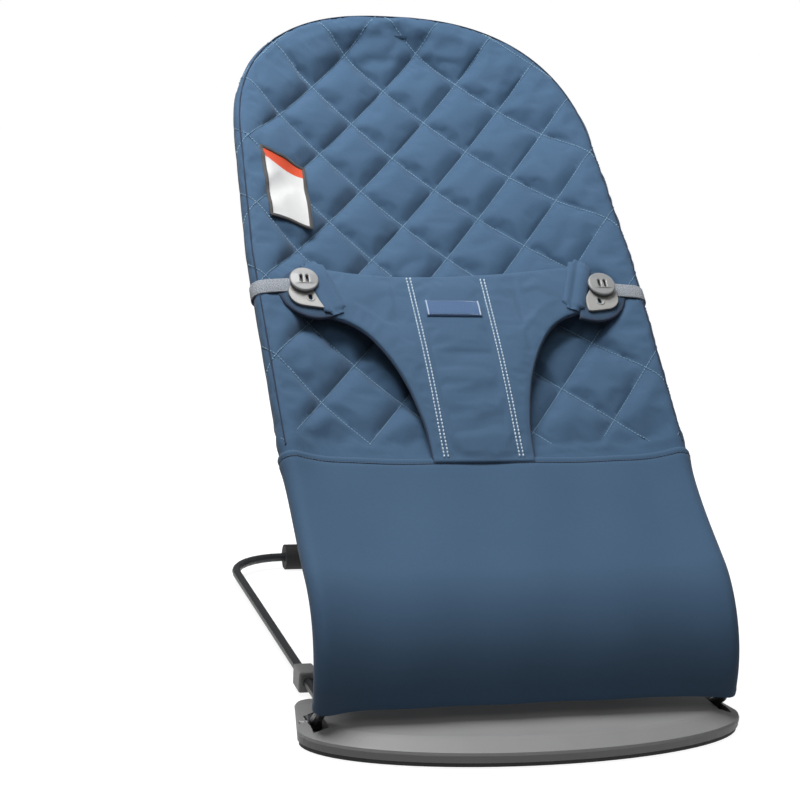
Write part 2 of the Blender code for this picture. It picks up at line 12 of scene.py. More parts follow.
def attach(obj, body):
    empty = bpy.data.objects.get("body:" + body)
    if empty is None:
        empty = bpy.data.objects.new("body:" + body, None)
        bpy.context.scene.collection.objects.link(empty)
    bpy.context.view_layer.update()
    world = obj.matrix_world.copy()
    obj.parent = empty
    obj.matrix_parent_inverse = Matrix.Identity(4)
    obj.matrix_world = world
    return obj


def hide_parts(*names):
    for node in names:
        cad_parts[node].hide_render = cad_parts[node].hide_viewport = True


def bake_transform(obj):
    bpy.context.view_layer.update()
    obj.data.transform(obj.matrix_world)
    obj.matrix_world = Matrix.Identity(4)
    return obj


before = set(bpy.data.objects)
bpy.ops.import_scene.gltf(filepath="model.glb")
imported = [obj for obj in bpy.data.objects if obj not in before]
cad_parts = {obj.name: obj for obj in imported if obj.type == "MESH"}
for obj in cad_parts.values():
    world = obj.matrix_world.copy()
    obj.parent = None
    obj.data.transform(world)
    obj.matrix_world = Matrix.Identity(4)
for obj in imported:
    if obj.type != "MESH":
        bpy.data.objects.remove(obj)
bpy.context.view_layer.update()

# The seat's own coordinates: x across, along the profile from the feet, depth away from the sitter.
# These sizes repeat the frame's.
MID_Y = 0.2390
RISES = (radians(103), radians(32), radians(42.4))
BENDS = (0.0, 0.120, 0.270)
PROFILE_LENGTH = 0.800
PROFILE_START = (-0.007, 0.030)
SEAM = 0.245
HALF_FOOT, HALF_SEAT, HALF_HEAD = 0.183, 0.190, 0.177
WIDEST = 0.47
HEAD_CURVE = 0.185
HEAD_POWER = 2.5
TUBE_INSET = 0.0095
COVER_SAG, COVER_SAG_MIN, COVER_EDGE = 0.040, 0.007, 0.0196
BUTTON_X, BUTTON_ALONG, BUTTON_LEVEL, BUTTON_RADIUS = 0.144, 0.430, -0.0120, 0.0135
BACK_RISE = RISES[2]
BACK_OUT = (0.0, -sin(BACK_RISE), cos(BACK_RISE))  # from the back towards the sitter

# Cloth
CLOTH_RADIUS = 0.0095  # outside of the padded casing round a frame tube
WRAP_TURN = radians(215)
WRAP = CLOTH_RADIUS * WRAP_TURN + 0.012
EASE = 0.045
COVER_BODY = 0.0028
PANEL_BODY = 0.0016
PUFF = 0.0074
CELL_X, CELL_S = 0.0388, 0.0410
CELL_START = (-0.1312, 0.7607)
CELL_SHEAR = (-0.0010, 0.103)
CELL_GROWTH = 0.0003
PARTS = 12  # mesh steps in half a quilting diamond
LOW_EDGE = 0.2355
STITCH_LOW = 0.256
CASING_SEAM_OUT = 0.0054


# ---------------------------------------------------------------- seat geometry

STEP = 0.0005
STATIONS = np.arange(-0.040, PROFILE_LENGTH + 0.080, STEP)
TURNS = np.interp(STATIONS[:-1] + STEP / 2, BENDS, RISES)
SIDE_Y = np.concatenate([[0.0], np.cumsum(np.cos(TURNS) * STEP)])
SIDE_Z = np.concatenate([[0.0], np.cumsum(np.sin(TURNS) * STEP)])
SIDE_Y += PROFILE_START[0] - np.interp(0.0, STATIONS, SIDE_Y)
SIDE_Z += PROFILE_START[1] - np.interp(0.0, STATIONS, SIDE_Z)


def seat_points(x, along, depth):
    """World points of seat coordinates."""
    x, along, depth = np.broadcast_arrays(np.asarray(x, float), along, depth)
    y = np.interp(along, STATIONS, SIDE_Y)
    z = np.interp(along, STATIONS, SIDE_Z)
    rise = np.interp(along, BENDS, RISES)
    return np.stack([x, y + np.sin(rise) * depth - MID_Y, z - np.cos(rise) * depth], -1)


def seat_point(x, along, depth=0.0):
    return Vector(seat_points(x, along, depth))


def side_half(along):
    """Half width of the covered frame, without the rounding of its head."""
    return np.interp(along, (0.0, WIDEST, PROFILE_LENGTH), (HALF_FOOT, HALF_SEAT, HALF_HEAD))


def half_width(along, inset):
    """Half width inside the outline by the inset, with the rounding of the head."""
    share = np.clip((along - PROFILE_LENGTH + HEAD_CURVE) / (HEAD_CURVE - inset), 0.0, 1.0)
    return (side_half(along) - inset) * (1 - share**HEAD_POWER) ** (1 / HEAD_POWER)


def tube_line():
    """Plan of the frame tube's centre line, left foot to right foot, and its outward normals."""
    start = PROFILE_LENGTH - HEAD_CURVE
    low = np.arange(-0.030, start, 0.001)
    left = np.stack([TUBE_INSET - side_half(low), low], 1)
    turn = np.linspace(0, pi, 1200)
    along = start + (HEAD_CURVE - TUBE_INSET) * np.sin(turn) ** (2 / HEAD_POWER)
    across = -np.sign(np.cos(turn)) * np.abs(np.cos(turn)) ** (2 / HEAD_POWER)
    head = np.stack([across * (side_half(along) - TUBE_INSET), along], 1)
    line = np.concatenate([left, head[1:-1], left[::-1] * (-1, 1)])
    travel = np.concatenate([[0], np.cumsum(np.linalg.norm(np.diff(line, axis=0), axis=1))])
    even = np.arange(0, travel[-1], 0.001)
    line = np.stack([np.interp(even, travel, line[:, i]) for i in (0, 1)], 1)
    heading = np.gradient(line, axis=0)
    heading /= np.linalg.norm(heading, axis=1)[:, None]
    return line, np.stack([-heading[:, 1], heading[:, 0]], 1)


TUBE_POINTS, TUBE_NORMALS = tube_line()


def from_tube(x, along):
    """Nearest points of the tube's centre line, their outward normals, and the distances outside it."""
    points = np.stack(np.broadcast_arrays(x, along), -1).reshape(-1, 2)
    parts = np.array_split(points, len(points) // 2000 + 1)
    near = np.concatenate([((part[:, None] - TUBE_POINTS[None]) ** 2).sum(2).argmin(1) for part in parts])
    normal = TUBE_NORMALS[near]
    tangent = np.stack([normal[:, 1], -normal[:, 0]], 1)
    slide = ((points - TUBE_POINTS[near]) * tangent).sum(1)
    beside = np.clip(near + np.where(slide > 0, 1, -1), 0, len(TUBE_POINTS) - 1)
    share = np.clip(np.abs(slide) / 0.001, 0, 1)[:, None]
    normal = normal * (1 - share) + TUBE_NORMALS[beside] * share
    normal /= np.linalg.norm(normal, axis=1)[:, None]
    base = TUBE_POINTS[near] + tangent * slide[:, None]
    return base, normal, ((points - base) * normal).sum(1)


def smooth(value):
    value = np.clip(value, 0.0, 1.0)
    return value * value * (3 - 2 * value)


def lay(x, along, valley, swell, lift=0.0):
    """Outer face of a cloth over the frame: sagging inside the tubes, wrapped round them outside."""
    x, along = (np.asarray(v, float).ravel() for v in np.broadcast_arrays(x, along))
    base, normal, out = from_tube(x, along)
    radius = CLOTH_RADIUS + swell * np.exp(-(((along - SEAM) / 0.018) ** 2)) + lift
    inside = np.clip(-out, 0, None)
    reach = 1 - (1 - np.clip(inside / EASE, 0, 1)) ** 2.2
    edge = 1.1 * radius
    sagging = -edge + (valley(x, along) - lift + edge) * reach
    round_tube = -np.sqrt(np.clip(radius**2 - inside**2, 0, None))
    level = round_tube + (sagging - round_tube) * smooth((inside - 0.001) / 0.006)
    turn = np.minimum(np.clip(out, 0, None) / radius, WRAP_TURN)
    rest = np.clip(out - WRAP_TURN * radius, 0, None)
    across = radius * np.sin(turn) + rest * np.cos(turn)
    deep = -radius * np.cos(turn) + rest * np.sin(turn)
    outside = out > 0
    plan = np.where(outside[:, None], base + normal * across[:, None], np.stack([x, along], 1))
    return seat_points(plan[:, 0], plan[:, 1], np.where(outside, deep, level))


def cover_valley(x, along):
    """Depth of the quilting seams."""
    half = np.clip(half_width(along, COVER_EDGE), 0.02, None)
    share = np.clip((along - SEAM) / (PROFILE_LENGTH - SEAM), 0, 1)
    deep = COVER_SAG_MIN + (COVER_SAG - COVER_SAG_MIN) * np.sin(pi * share) ** 0.8
    return deep * (1 - np.minimum(np.abs(x) / half, 1) ** 2) - 0.0015


def panel_valley(x, along):
    """Sag of the front panel, with a little slack."""
    share = np.clip(along / SEAM, 0, 1)
    half = side_half(along) - TUBE_INSET
    slack = 0.0007 * np.sin(x * 31 + 0.7) * np.sin(along * 23) + 0.0005 * np.sin(x * 74 - along * 19)
    return 0.0065 * share * (1 - np.minimum(np.abs(x) / half, 1) ** 2) - 0.0035 + slack


def cover_face(x, along, lift=0.0):
    return lay(x, along, cover_valley, 0.0006, lift)


def panel_face(x, along, lift=0.0):
    return lay(x, along, panel_valley, 0.0024, lift)


# ---------------------------------------------------------------- meshes


def add_mesh(name, points, faces, finish, flat=None, crease=None):
    mesh = bpy.data.meshes.new(name)
    mesh.from_pydata([tuple(p) for p in points], [], [tuple(int(i) for i in f) for f in faces])
    mesh.shade_smooth()
    if crease is not None:
        mesh.set_sharp_from_angle(angle=radians(crease))
    if flat is not None:
        layer = mesh.attributes.new("flat", "FLOAT_VECTOR", "POINT")
        values = np.column_stack([flat, np.zeros(len(flat))]).astype(np.float32)
        layer.data.foreach_set("vector", values.ravel())
    made = bpy.data.objects.new(name, mesh)
    bpy.context.scene.collection.objects.link(made)
    mesh.materials.append(finish)
    return made


def face_normals(points, triangles):
    """Unit normals at the points of a triangle mesh."""
    corner = points[triangles]
    facing = np.cross(corner[:, 1] - corner[:, 0], corner[:, 2] - corner[:, 0])
    total = np.zeros_like(points)
    for i in range(3):
        np.add.at(total, triangles[:, i], facing)
    return total / np.clip(np.linalg.norm(total, axis=1), 1e-12, None)[:, None]


def triangulate(outline, inner, lines=()):
    """Plan points and triangles of a closed outline, with the inner points and edges between them kept."""
    count = len(outline)
    points = [Vector(p) for p in np.concatenate([outline, inner])]
    edges = [(i, (i + 1) % count) for i in range(count)] + [(a + count, b + count) for a, b in lines]
    made = delaunay_2d_cdt(points, edges, [], 1, 1e-6)
    return np.array([tuple(v) for v in made[0]]), np.array([f for f in made[2]])


def grid_quads(rows, wide):
    """Faces between the points of a grid that are numbered row by row."""
    starts = [r * wide + c for r in range(rows - 1) for c in range(wide - 1)]
    return [(a, a + 1, a + wide + 1, a + wide) for a in starts]


def flipped(quads):
    return [(a, d, c, b) for a, b, c, d in quads]


def halves(quads):
    return np.array([half for a, b, c, d in quads for half in ((a, b, c), (a, c, d))])


def grid_border(rows, wide):
    """Point numbers round a grid, beginning at its first point."""
    first = list(range(wide))
    last = [r * wide + wide - 1 for r in range(1, rows)]
    far = [(rows - 1) * wide + c for c in range(wide - 2, -1, -1)]
    return first + last + far + [r * wide for r in range(rows - 2, 0, -1)]


def border_edges(triangles):
    """Directed edges used by one triangle only."""
    sides = np.concatenate([triangles[:, [0, 1]], triangles[:, [1, 2]], triangles[:, [2, 0]]])
    there = {(int(a), int(b)) for a, b in sides}
    return [(a, b) for a, b in sorted(there) if (b, a) not in there]


def closed_cloth(name, front, back, triangles, finish, flat):
    """A cloth with two faces that meet at a narrow edge."""
    count = len(front)
    faces = triangles.tolist() + (triangles[:, ::-1] + count).tolist()
    faces += [(b, a, a + count, b + count) for a, b in border_edges(triangles)]
    return add_mesh(name, np.concatenate([front, back]), faces, finish, np.concatenate([flat, flat]), 75)


def loft(name, centres, acrosses, ups, section, finish, scales=None):
    """Closed strip: a section of (across, up) points carried along a path."""
    centres, acrosses, ups = (np.asarray(v, float) for v in (centres, acrosses, ups))
    section = np.asarray(section, float)
    scales = np.ones(len(centres)) if scales is None else np.asarray(scales, float)
    spread = acrosses[:, None] * section[None, :, :1] + ups[:, None] * section[None, :, 1:]
    rings = centres[:, None] + spread * scales[:, None, None]
    wide = len(section)
    faces = []
    for start in range(0, (len(centres) - 1) * wide, wide):
        for i in range(wide):
            after = (i + 1) % wide
            faces.append((start + i, start + after, start + wide + after, start + wide + i))
    faces += [tuple(range(wide))[::-1], tuple((len(centres) - 1) * wide + i for i in range(wide))]
    travel = np.concatenate([[0], np.cumsum(np.linalg.norm(np.diff(centres, axis=0), axis=1))])
    flat = np.stack([np.tile(section[:, 0], len(centres)), np.repeat(travel, wide)], 1)
    return add_mesh(name, rings.reshape(-1, 3), faces, finish, flat, 60)


def rounded(half, thick, turns=4):
    """Section of a flat band with rounded edges."""
    angles = np.linspace(-pi / 2, pi / 2, turns + 1)
    edge = thick / 2
    right = [(half - edge + edge * cos(a), edge * sin(a)) for a in angles]
    return right + [(-x, y) for x, y in right[::-1]]


def oval(x, y, radius, up=0.0, down=0.0, count=16, start=0.0):
    """Round outline, stretched up and down from its centre."""
    turns = np.linspace(start, start + tau, count, endpoint=False)
    return [(x + radius * cos(a), y + (up if sin(a) > 0 else -down) + radius * sin(a)) for a in turns]


def ring(radius, count=8):
    return [(radius * cos(tau * i / count), radius * sin(tau * i / count)) for i in range(count)]


def path_frames(points, up):
    """Across and up directions along a path, for a rough up at each point."""
    heading = np.gradient(points, axis=0)
    heading /= np.linalg.norm(heading, axis=1)[:, None]
    across = np.cross(heading, up)
    across /= np.linalg.norm(across, axis=1)[:, None]
    return across, np.cross(across, heading)


def cord_along(name, points, radius, finish):
    """Round cord on a path that lies on the seat."""
    points = np.asarray(points, float)
    up = np.tile(BACK_OUT, (len(points), 1))
    across, up = path_frames(points, up + 1e-4)
    return loft(name, points, across, up, ring(radius), finish)


def spline(points, spacing=0.003):
    """Even points on a smooth curve through the given ones."""
    points = np.asarray(points, float)
    padded = np.concatenate([2 * points[:1] - points[1:2], points, 2 * points[-1:] - points[-2:-1]])
    fine = []
    for a, b, c, d in zip(padded, padded[1:], padded[2:], padded[3:]):
        for t in np.linspace(0, 1, 24, endpoint=False):
            square = (2 * a - 5 * b + 4 * c - d) * t * t
            cube = (3 * b - a - 3 * c + d) * t**3
            fine.append(0.5 * (2 * b + (c - a) * t + square + cube))
    fine = np.array(fine + [points[-1]])
    travel = np.concatenate([[0], np.cumsum(np.linalg.norm(np.diff(fine, axis=0), axis=1))])
    even = np.linspace(0, travel[-1], max(int(round(travel[-1] / spacing)), 2) + 1)
    return np.stack([np.interp(even, travel, fine[:, i]) for i in range(fine.shape[1])], 1)


def stitches(name, lines, face, finish, pitch, dash, width, lift=0.0003, keep=None):
    """Rows of real thread dashes laid on a cloth face along plan lines."""
    points = []
    for line in lines:
        line = np.asarray(line, float)
        travel = np.concatenate([[0], np.cumsum(np.linalg.norm(np.diff(line, axis=0), axis=1))])
        middle = np.arange(pitch / 2, travel[-1] - pitch / 2, pitch)
        for at in (middle - dash / 2, middle + dash / 2):
            points.append(np.stack([np.interp(at, travel, line[:, i]) for i in (0, 1)], 1))
    first = np.concatenate(points[0::2])
    last = np.concatenate(points[1::2])
    if keep is not None:
        kept = keep(*((first + last) / 2).T)
        first, last = first[kept], last[kept]
    a, b = face(*first.T, lift), face(*last.T, lift)
    middle = (first + last) / 2
    step = 0.001
    centre = face(*middle.T, lift)
    beside = face(middle[:, 0] + step, middle[:, 1], lift) - centre
    above = face(middle[:, 0], middle[:, 1] + step, lift) - centre
    up = np.cross(beside, above)
    up /= np.linalg.norm(up, axis=1)[:, None]
    ahead = (b - a) / np.linalg.norm(b - a, axis=1)[:, None]
    side = np.cross(up, ahead)
    corners = []
    stations = ((a, -0.0002, 0.5, 0.0), (a, 0.0004, 1.0, 1.0), (b, -0.0004, 1.0, 1.0), (b, 0.0002, 0.5, 0.0))
    for base, push, half, rise in stations:
        for across in (-half, half):
            corners.append(base + ahead * push + side * across * width / 2 + up * (rise * width * 0.45))
            corners.append(base + ahead * push + side * across * width / 2 - up * 0.0006)
    points = np.stack(corners, 1).reshape(-1, 3)
    faces = []
    for n in range(len(a)):
        k = 16 * n
        for j in (k, k + 4, k + 8):
            faces += [(j, j + 2, j + 6, j + 4), (j, j + 4, j + 5, j + 1), (j + 2, j + 3, j + 7, j + 6)]
        faces += [(k, k + 1, k + 3, k + 2), (k + 12, k + 14, k + 15, k + 13)]
    return add_mesh(name, points, faces, finish)


def seat_matrix(x, along, depth):
    """Frame of a flat part on the back: its X across, its Y up the back, its Z towards the sitter."""
    return Matrix.Translation(seat_point(x, along, depth)) @ Matrix.Rotation(BACK_RISE, 4, "X")


def plate_shape(name, outlines, thick, bevel, finish, place, dome=0.0, reach=1.0):
    """Flat moulded part with rounded edges, cut through where an outline lies inside another."""
    data = bpy.data.curves.new(name, "CURVE")
    data.dimensions = "2D"
    data.fill_mode = "BOTH"
    data.extrude = thick / 2 - bevel
    data.bevel_depth = bevel
    data.bevel_resolution = 3
    data.offset = -bevel
    for outline in outlines:
        row = data.splines.new("POLY")
        row.points.add(len(outline) - 1)
        row.points.foreach_set("co", [v for x, y in outline for v in (x, y, 0.0, 1.0)])
        row.use_cyclic_u = True
    guide = bpy.data.objects.new(name, data)
    bpy.context.scene.collection.objects.link(guide)
    mesh = bpy.data.meshes.new_from_object(guide.evaluated_get(bpy.context.evaluated_depsgraph_get()))
    bpy.data.objects.remove(guide)
    for v in mesh.vertices:
        v.co.z -= dome * (v.co.x**2 + v.co.y**2) / reach**2
    mesh.transform(place)
    mesh.name = name
    mesh.shade_smooth()
    mesh.set_sharp_from_angle(angle=radians(50))
    mesh.materials.clear()
    mesh.materials.append(finish)
    made = bpy.data.objects.new(name, mesh)
    bpy.context.scene.collection.objects.link(made)
    return made


# ---------------------------------------------------------------- finishes


class Flow:
    """A shader socket that arithmetic works on."""

    def __init__(self, finish, socket):
        self.finish = finish
        self.socket = socket

    def sum(self, operation, first, second=0.0):
        return self.finish.node("ShaderNodeMath", {"operation": operation}, {0: first, 1: second})

    def __add__(self, other):
        return self.sum("ADD", self, other)

    def __sub__(self, other):
        return self.sum("SUBTRACT", self, other)

    def __rsub__(self, other):
        return self.sum("SUBTRACT", other, self)

    def __mul__(self, other):
        return self.sum("MULTIPLY", self, other)

    __radd__ = __add__
    __rmul__ = __mul__

    def sine(self):
        return self.sum("SINE", self)


class Finish:
    """A material under construction."""

    def __init__(self, name, **constants):
        self.material = bpy.data.materials.new(name)
        self.material.use_nodes = True
        self.tree = self.material.node_tree
        self.shader = self.tree.nodes["Principled BSDF"]
        for key, value in constants.items():
            self.shader.inputs[key.replace("_", " ")].default_value = value

    def node(self, kind, settings=None, inputs=None, output=0):
        made = self.tree.nodes.new(kind)
        for key, value in (settings or {}).items():
            if key == "stops":
                for i, (at, tone) in enumerate(value):
                    stop = made.color_ramp.elements[i] if i < 2 else made.color_ramp.elements.new(at)
                    stop.position = at
                    stop.color = (*tone, 1.0)
            else:
                setattr(made, key, value)
        for key, value in (inputs or {}).items():
            self.set(made.inputs[key], value)
        return Flow(self, made.outputs[output])

    def set(self, socket, value):
        if isinstance(value, Flow):
            self.tree.links.new(value.socket, socket)
        elif isinstance(value, tuple) and len(value) == 3 and socket.type == "RGBA":
            socket.default_value = (*value, 1.0)
        else:
            socket.default_value = value

    def feed(self, **inputs):
        for key, value in inputs.items():
            self.set(self.shader.inputs[key.replace("_", " ")], value)
        return self.material

    def noise(self, where, scale, detail=3.0, rough=0.5):
        inputs = {"Vector": where, "Scale": scale, "Detail": detail, "Roughness": rough}
        return self.node("ShaderNodeTexNoise", None, inputs)

    def mix(self, share, first, second):
        return self.node("ShaderNodeMix", {"data_type": "RGBA"}, {0: share, 6: first, 7: second}, 2)

    def place(self):
        return self.node("ShaderNodeTexCoord", output=3)

    def flat(self):
        return self.node("ShaderNodeAttribute", {"attribute_name": "flat"}, output=1)

    def split(self, where):
        parts = self.node("ShaderNodeSeparateXYZ", None, {0: where})
        return [Flow(self, s) for s in parts.socket.node.outputs]

    def bump(self, height, strength, distance):
        inputs = {"Height": height, "Strength": strength, "Distance": distance}
        return self.node("ShaderNodeBump", None, inputs)


def woven(name, dark, light, pitch=0.0009, twill=0.35, sheen=0.10, bump=0.35, rough=0.86):
    """Fine cotton: crossing yarns, slubs and slow colour drift."""
    f = Finish(name, Sheen_Weight=sheen, Sheen_Roughness=0.45, Specular_IOR_Level=0.25)
    where = f.flat()
    x, along, _ = f.split(where)
    warp = (x * (tau / pitch)).sine()
    weft = ((along + x * twill) * (tau / pitch)).sine()
    yarn = warp * weft
    grain = f.noise(where, 1500.0, 2.0, 0.6)
    slub = f.noise(where, 260.0, 4.0, 0.65)
    drift = f.noise(where, 14.0, 3.0, 0.5)
    tone = grain * 0.30 + slub * 0.35 + drift * 0.30 + yarn * 0.05
    height = yarn * 0.5 + grain * 0.5 + slub * 0.6
    return f.feed(
        Base_Color=f.mix(tone, dark, light),
        Roughness=rough - 0.08 * drift,
        Normal=f.bump(height, bump, 0.0003),
    )


def melange(name, dark, light):
    """Grey webbing: herringbone ribs with flecked yarn."""
    f = Finish(name, Sheen_Weight=0.2, Specular_IOR_Level=0.3)
    where = f.flat()
    x, along, _ = f.split(where)
    rib = (x * (tau / 0.0016)).sine()
    pick = ((along + rib * 0.0004) * (tau / 0.0011)).sine()
    fleck = f.noise(where, 1300.0, 2.0, 0.7)
    share = fleck * 0.9 + pick * 0.06
    ramp = f.node("ShaderNodeValToRGB", {"stops": ((0.36, dark), (0.62, light))}, {0: share})
    return f.feed(Base_Color=ramp, Roughness=0.8, Normal=f.bump(rib * 0.6 + pick * 0.4 + fleck, 0.6, 0.0003))


def moulded(name, tone, rough, grain=900.0, bump=0.12, wear=0.12):
    """Moulded plastic with a fine spark-eroded texture and faint handling marks."""
    f = Finish(name, Specular_IOR_Level=0.45)
    where = f.place()
    fine = f.noise(where, grain, 2.0, 0.6)
    cloud = f.noise(where, 22.0, 4.0, 0.55)
    dark = tuple(v * (1 - wear) for v in tone)
    light = tuple(min(v * (1 + wear), 1.0) for v in tone)
    return f.feed(
        Base_Color=f.mix(fine * 0.45 + cloud * 0.55, dark, light),
        Roughness=rough - 0.06 + cloud * 0.12,
        Normal=f.bump(fine, bump, 0.0002),
    )


def coated(name, tone, rough, metal):
    """Powder coat or turned steel: fine orange peel, slightly lighter where it rubs."""
    f = Finish(name)
    where = f.place()
    peel = f.noise(where, 1200.0, 2.0, 0.5)
    rub = f.noise(where, 35.0, 5.0, 0.7)
    return f.feed(
        Base_Color=f.mix(rub, tuple(v * 0.8 for v in tone), tuple(v * 1.3 for v in tone)),
        Roughness=rough - 0.05 + rub * 0.1,
        Metallic=metal,
        Normal=f.bump(peel, 0.15, 0.0002),
    )


def thread(name, tone):
    """Twisted sewing thread."""
    f = Finish(name, Sheen_Weight=0.3, Roughness=0.7)
    ply = f.noise(f.place(), 2500.0, 2.0, 0.6)
    return f.feed(Base_Color=f.mix(ply, tuple(v * 0.75 for v in tone), tone), Normal=f.bump(ply, 0.3, 0.0001))


QUILT = woven("quilted_blue_cotton", (0.029, 0.068, 0.128), (0.054, 0.110, 0.190))
PLAIN = woven("plain_blue_cotton", (0.032, 0.072, 0.134), (0.055, 0.110, 0.188))
RESTRAINT = woven("restraint_cotton", (0.036, 0.080, 0.146), (0.060, 0.118, 0.202))
NAVY = woven("navy_binding", (0.012, 0.022, 0.045), (0.024, 0.040, 0.075))
# The restraint cotton made darker for the wing pocket under the fold: painted shade.
RESTRAINT_PAINTED_SHADE = woven("pocket_cotton_painted_shade", (0.020, 0.046, 0.086), (0.036, 0.070, 0.120))
WEBBING = melange("melange_webbing", (0.10, 0.115, 0.14), (0.46, 0.49, 0.53))
PALE_THREAD = thread("pale_thread", (0.62, 0.74, 0.82))
QUILT_THREAD = thread("quilting_thread", (0.17, 0.31, 0.43))
BLUE_THREAD = thread("tonal_thread", (0.024, 0.052, 0.095))
TAG = woven("woven_tag_blue", (0.050, 0.100, 0.205), (0.085, 0.150, 0.280), 0.0006, 0.0, 0.20)
TAG_EDGE = thread("tag_edge_thread", (0.42, 0.52, 0.64))
PATCH_WHITE = woven("patch_white", (0.47, 0.475, 0.475), (0.60, 0.60, 0.60), 0.0007, 0.0, 0.1, 0.2)
PATCH_BAND = woven("patch_band", (0.44, 0.045, 0.016), (0.58, 0.075, 0.028), 0.0007, 0.0, 0.1, 0.2)
PATCH_EDGE = thread("overlock_thread", (0.016, 0.016, 0.018))
PLATE_GREY = moulded("plate_grey", (0.225, 0.225, 0.227), 0.50, 1100.0, 0.25)
MID_GREY = moulded("keyhole_grey", (0.29, 0.29, 0.28), 0.38)
# Near-black grey for the button's stem, so the slots in the disc show dark: painted shade.
BUTTON_PAINTED_SHADE = moulded("button_stem_painted_shade", (0.045, 0.045, 0.047), 0.55)
BUTTON_GREY = moulded("button_grey", (0.24, 0.242, 0.245), 0.34)
DARK_STEEL = coated("dark_powder_coat", (0.040, 0.042, 0.046), 0.42, 0.35)
PIN_STEEL = coated("turned_steel", (0.55, 0.55, 0.56), 0.33, 1.0)
RUBBER = moulded("soft_rubber", (0.024, 0.024, 0.026), 0.72, 700.0, 0.3)


# ---------------------------------------------------------------- quilted cover


def quilt_cell(x, along):
    """Two counts that are whole on the two families of quilting seams."""
    drop = CELL_START[1] + CELL_SHEAR[1] * x - along
    k = 2 * drop / (CELL_S + np.sqrt(CELL_S**2 + 4 * CELL_GROWTH * drop))
    m = (x - CELL_START[0] - CELL_SHEAR[0] * k) / CELL_X
    return (m - k) / 2, (m + k) / 2


def quilt_point(m, k):
    """Plan point of the quilting's crossing m columns across and k rows down."""
    x = CELL_START[0] + CELL_X * m + CELL_SHEAR[0] * k
    return x, CELL_START[1] + CELL_SHEAR[1] * x - CELL_S * k - CELL_GROWTH * k * k


def puff_height(x, along, out):
    """Height of the padding between the quilting seams."""
    share = 1.0
    for count in quilt_cell(x, along):
        off = np.abs(count - np.round(count)) * 2
        share = share * (1 - (1 - off) ** 3.2)
    inside = np.clip(-out, 0, None)
    fade = np.where(out > 0, 0.20 * np.clip(1 - out / 0.024, 0, 1), 0.20 + 0.80 * smooth(inside / 0.032))
    low = smooth((along - STITCH_LOW - 0.004) / 0.030)
    soft = 0.0010 * smooth((along - SEAM - 0.002) / 0.01) * (1 - low)
    return PUFF * share**0.66 * fade * low + soft


def wrinkle(x, along):
    """Slow pulls in the cloth."""
    pull = 0.0
    for scale, turn, size in ((95, 0.5, 0.00022), (170, 1.9, 0.00016), (250, 2.6, 0.00010)):
        drift = 2.2 * np.sin(41 * x - 29 * along) + turn * 7
        pull = pull + size * np.sin(scale * (x * cos(turn) + along * sin(turn)) + drift)
    return pull


def make_cover():
    """Quilted cloth from the seam over the head, sewn down on the lattice and wrapped round the tubes."""
    edge = np.arange(0, len(TUBE_POINTS), 4)
    rings = []
    for out in (0.0, 0.0028, 0.0058, 0.0090, 0.0125, 0.0170, 0.0225, 0.0285, 0.0345, 0.0405):
        ring_points = TUBE_POINTS[edge] + TUBE_NORMALS[edge] * out
        rings.append(ring_points[ring_points[:, 1] > LOW_EDGE + 0.0015])
    outer = TUBE_POINTS[edge] + TUBE_NORMALS[edge] * WRAP
    outer = outer[outer[:, 1] > LOW_EDGE + 0.0015]
    low_x = np.arange(-1, 1.001, 2 / 140) * abs(outer[0][0])
    outline = np.concatenate([outer, np.stack([low_x[::-1], np.full(len(low_x), LOW_EDGE)], 1)])
    over, down = np.arange(-6 * PARTS, 14 * PARTS), np.arange(-3 * PARTS, 15 * PARTS)
    columns, rows = np.meshgrid(over, down, indexing="ij")
    x, along = quilt_point(columns / PARTS, rows / PARTS)
    inside = (np.abs(x) < 0.19) & (along > LOW_EDGE + 0.0016) & (along < PROFILE_LENGTH)
    _, _, out = from_tube(x[inside], along[inside])
    keep = inside.copy()
    keep[inside] = out < -0.0018
    number = np.full(keep.shape, -1)
    number[keep] = np.arange(keep.sum())
    lines = []
    for step in (1, -1):
        first = np.argwhere(keep & ((columns - step * rows) % (2 * PARTS) == 0))
        for i, j in first:
            if i + 1 < keep.shape[0] and 0 <= j + step < keep.shape[1] and keep[i + 1, j + step]:
                lines.append((number[i, j], number[i + 1, j + step]))
    inner = np.stack([x[keep], along[keep]], 1)
    extra = np.concatenate(rings)
    flat, triangles = triangulate(outline, np.concatenate([inner, extra]), lines)
    x, along = flat.T
    _, _, out = from_tube(x, along)
    base = cover_face(x, along)
    normal = face_normals(base, triangles)
    puff = puff_height(x, along, out)
    free = np.clip(puff / PUFF * 2, 0, 1) * smooth((-out - 0.004) / 0.02)
    front = base + normal * (puff + wrinkle(x, along) * free)[:, None]
    front = settle(front, triangles, puff < 0.0005, 0.0016, growth=0.012, pressure=1.2)
    back = base - normal * (COVER_BODY + 0.42 * puff * smooth(-out / 0.02))[:, None]
    cover = closed_cloth("quilted_cover_cloth", front, back, triangles, QUILT, flat)
    surface = BVHTree.FromPolygons([Vector(p) for p in front], triangles.tolist())
    return cover, surface


SETTLE_FRAMES = 20


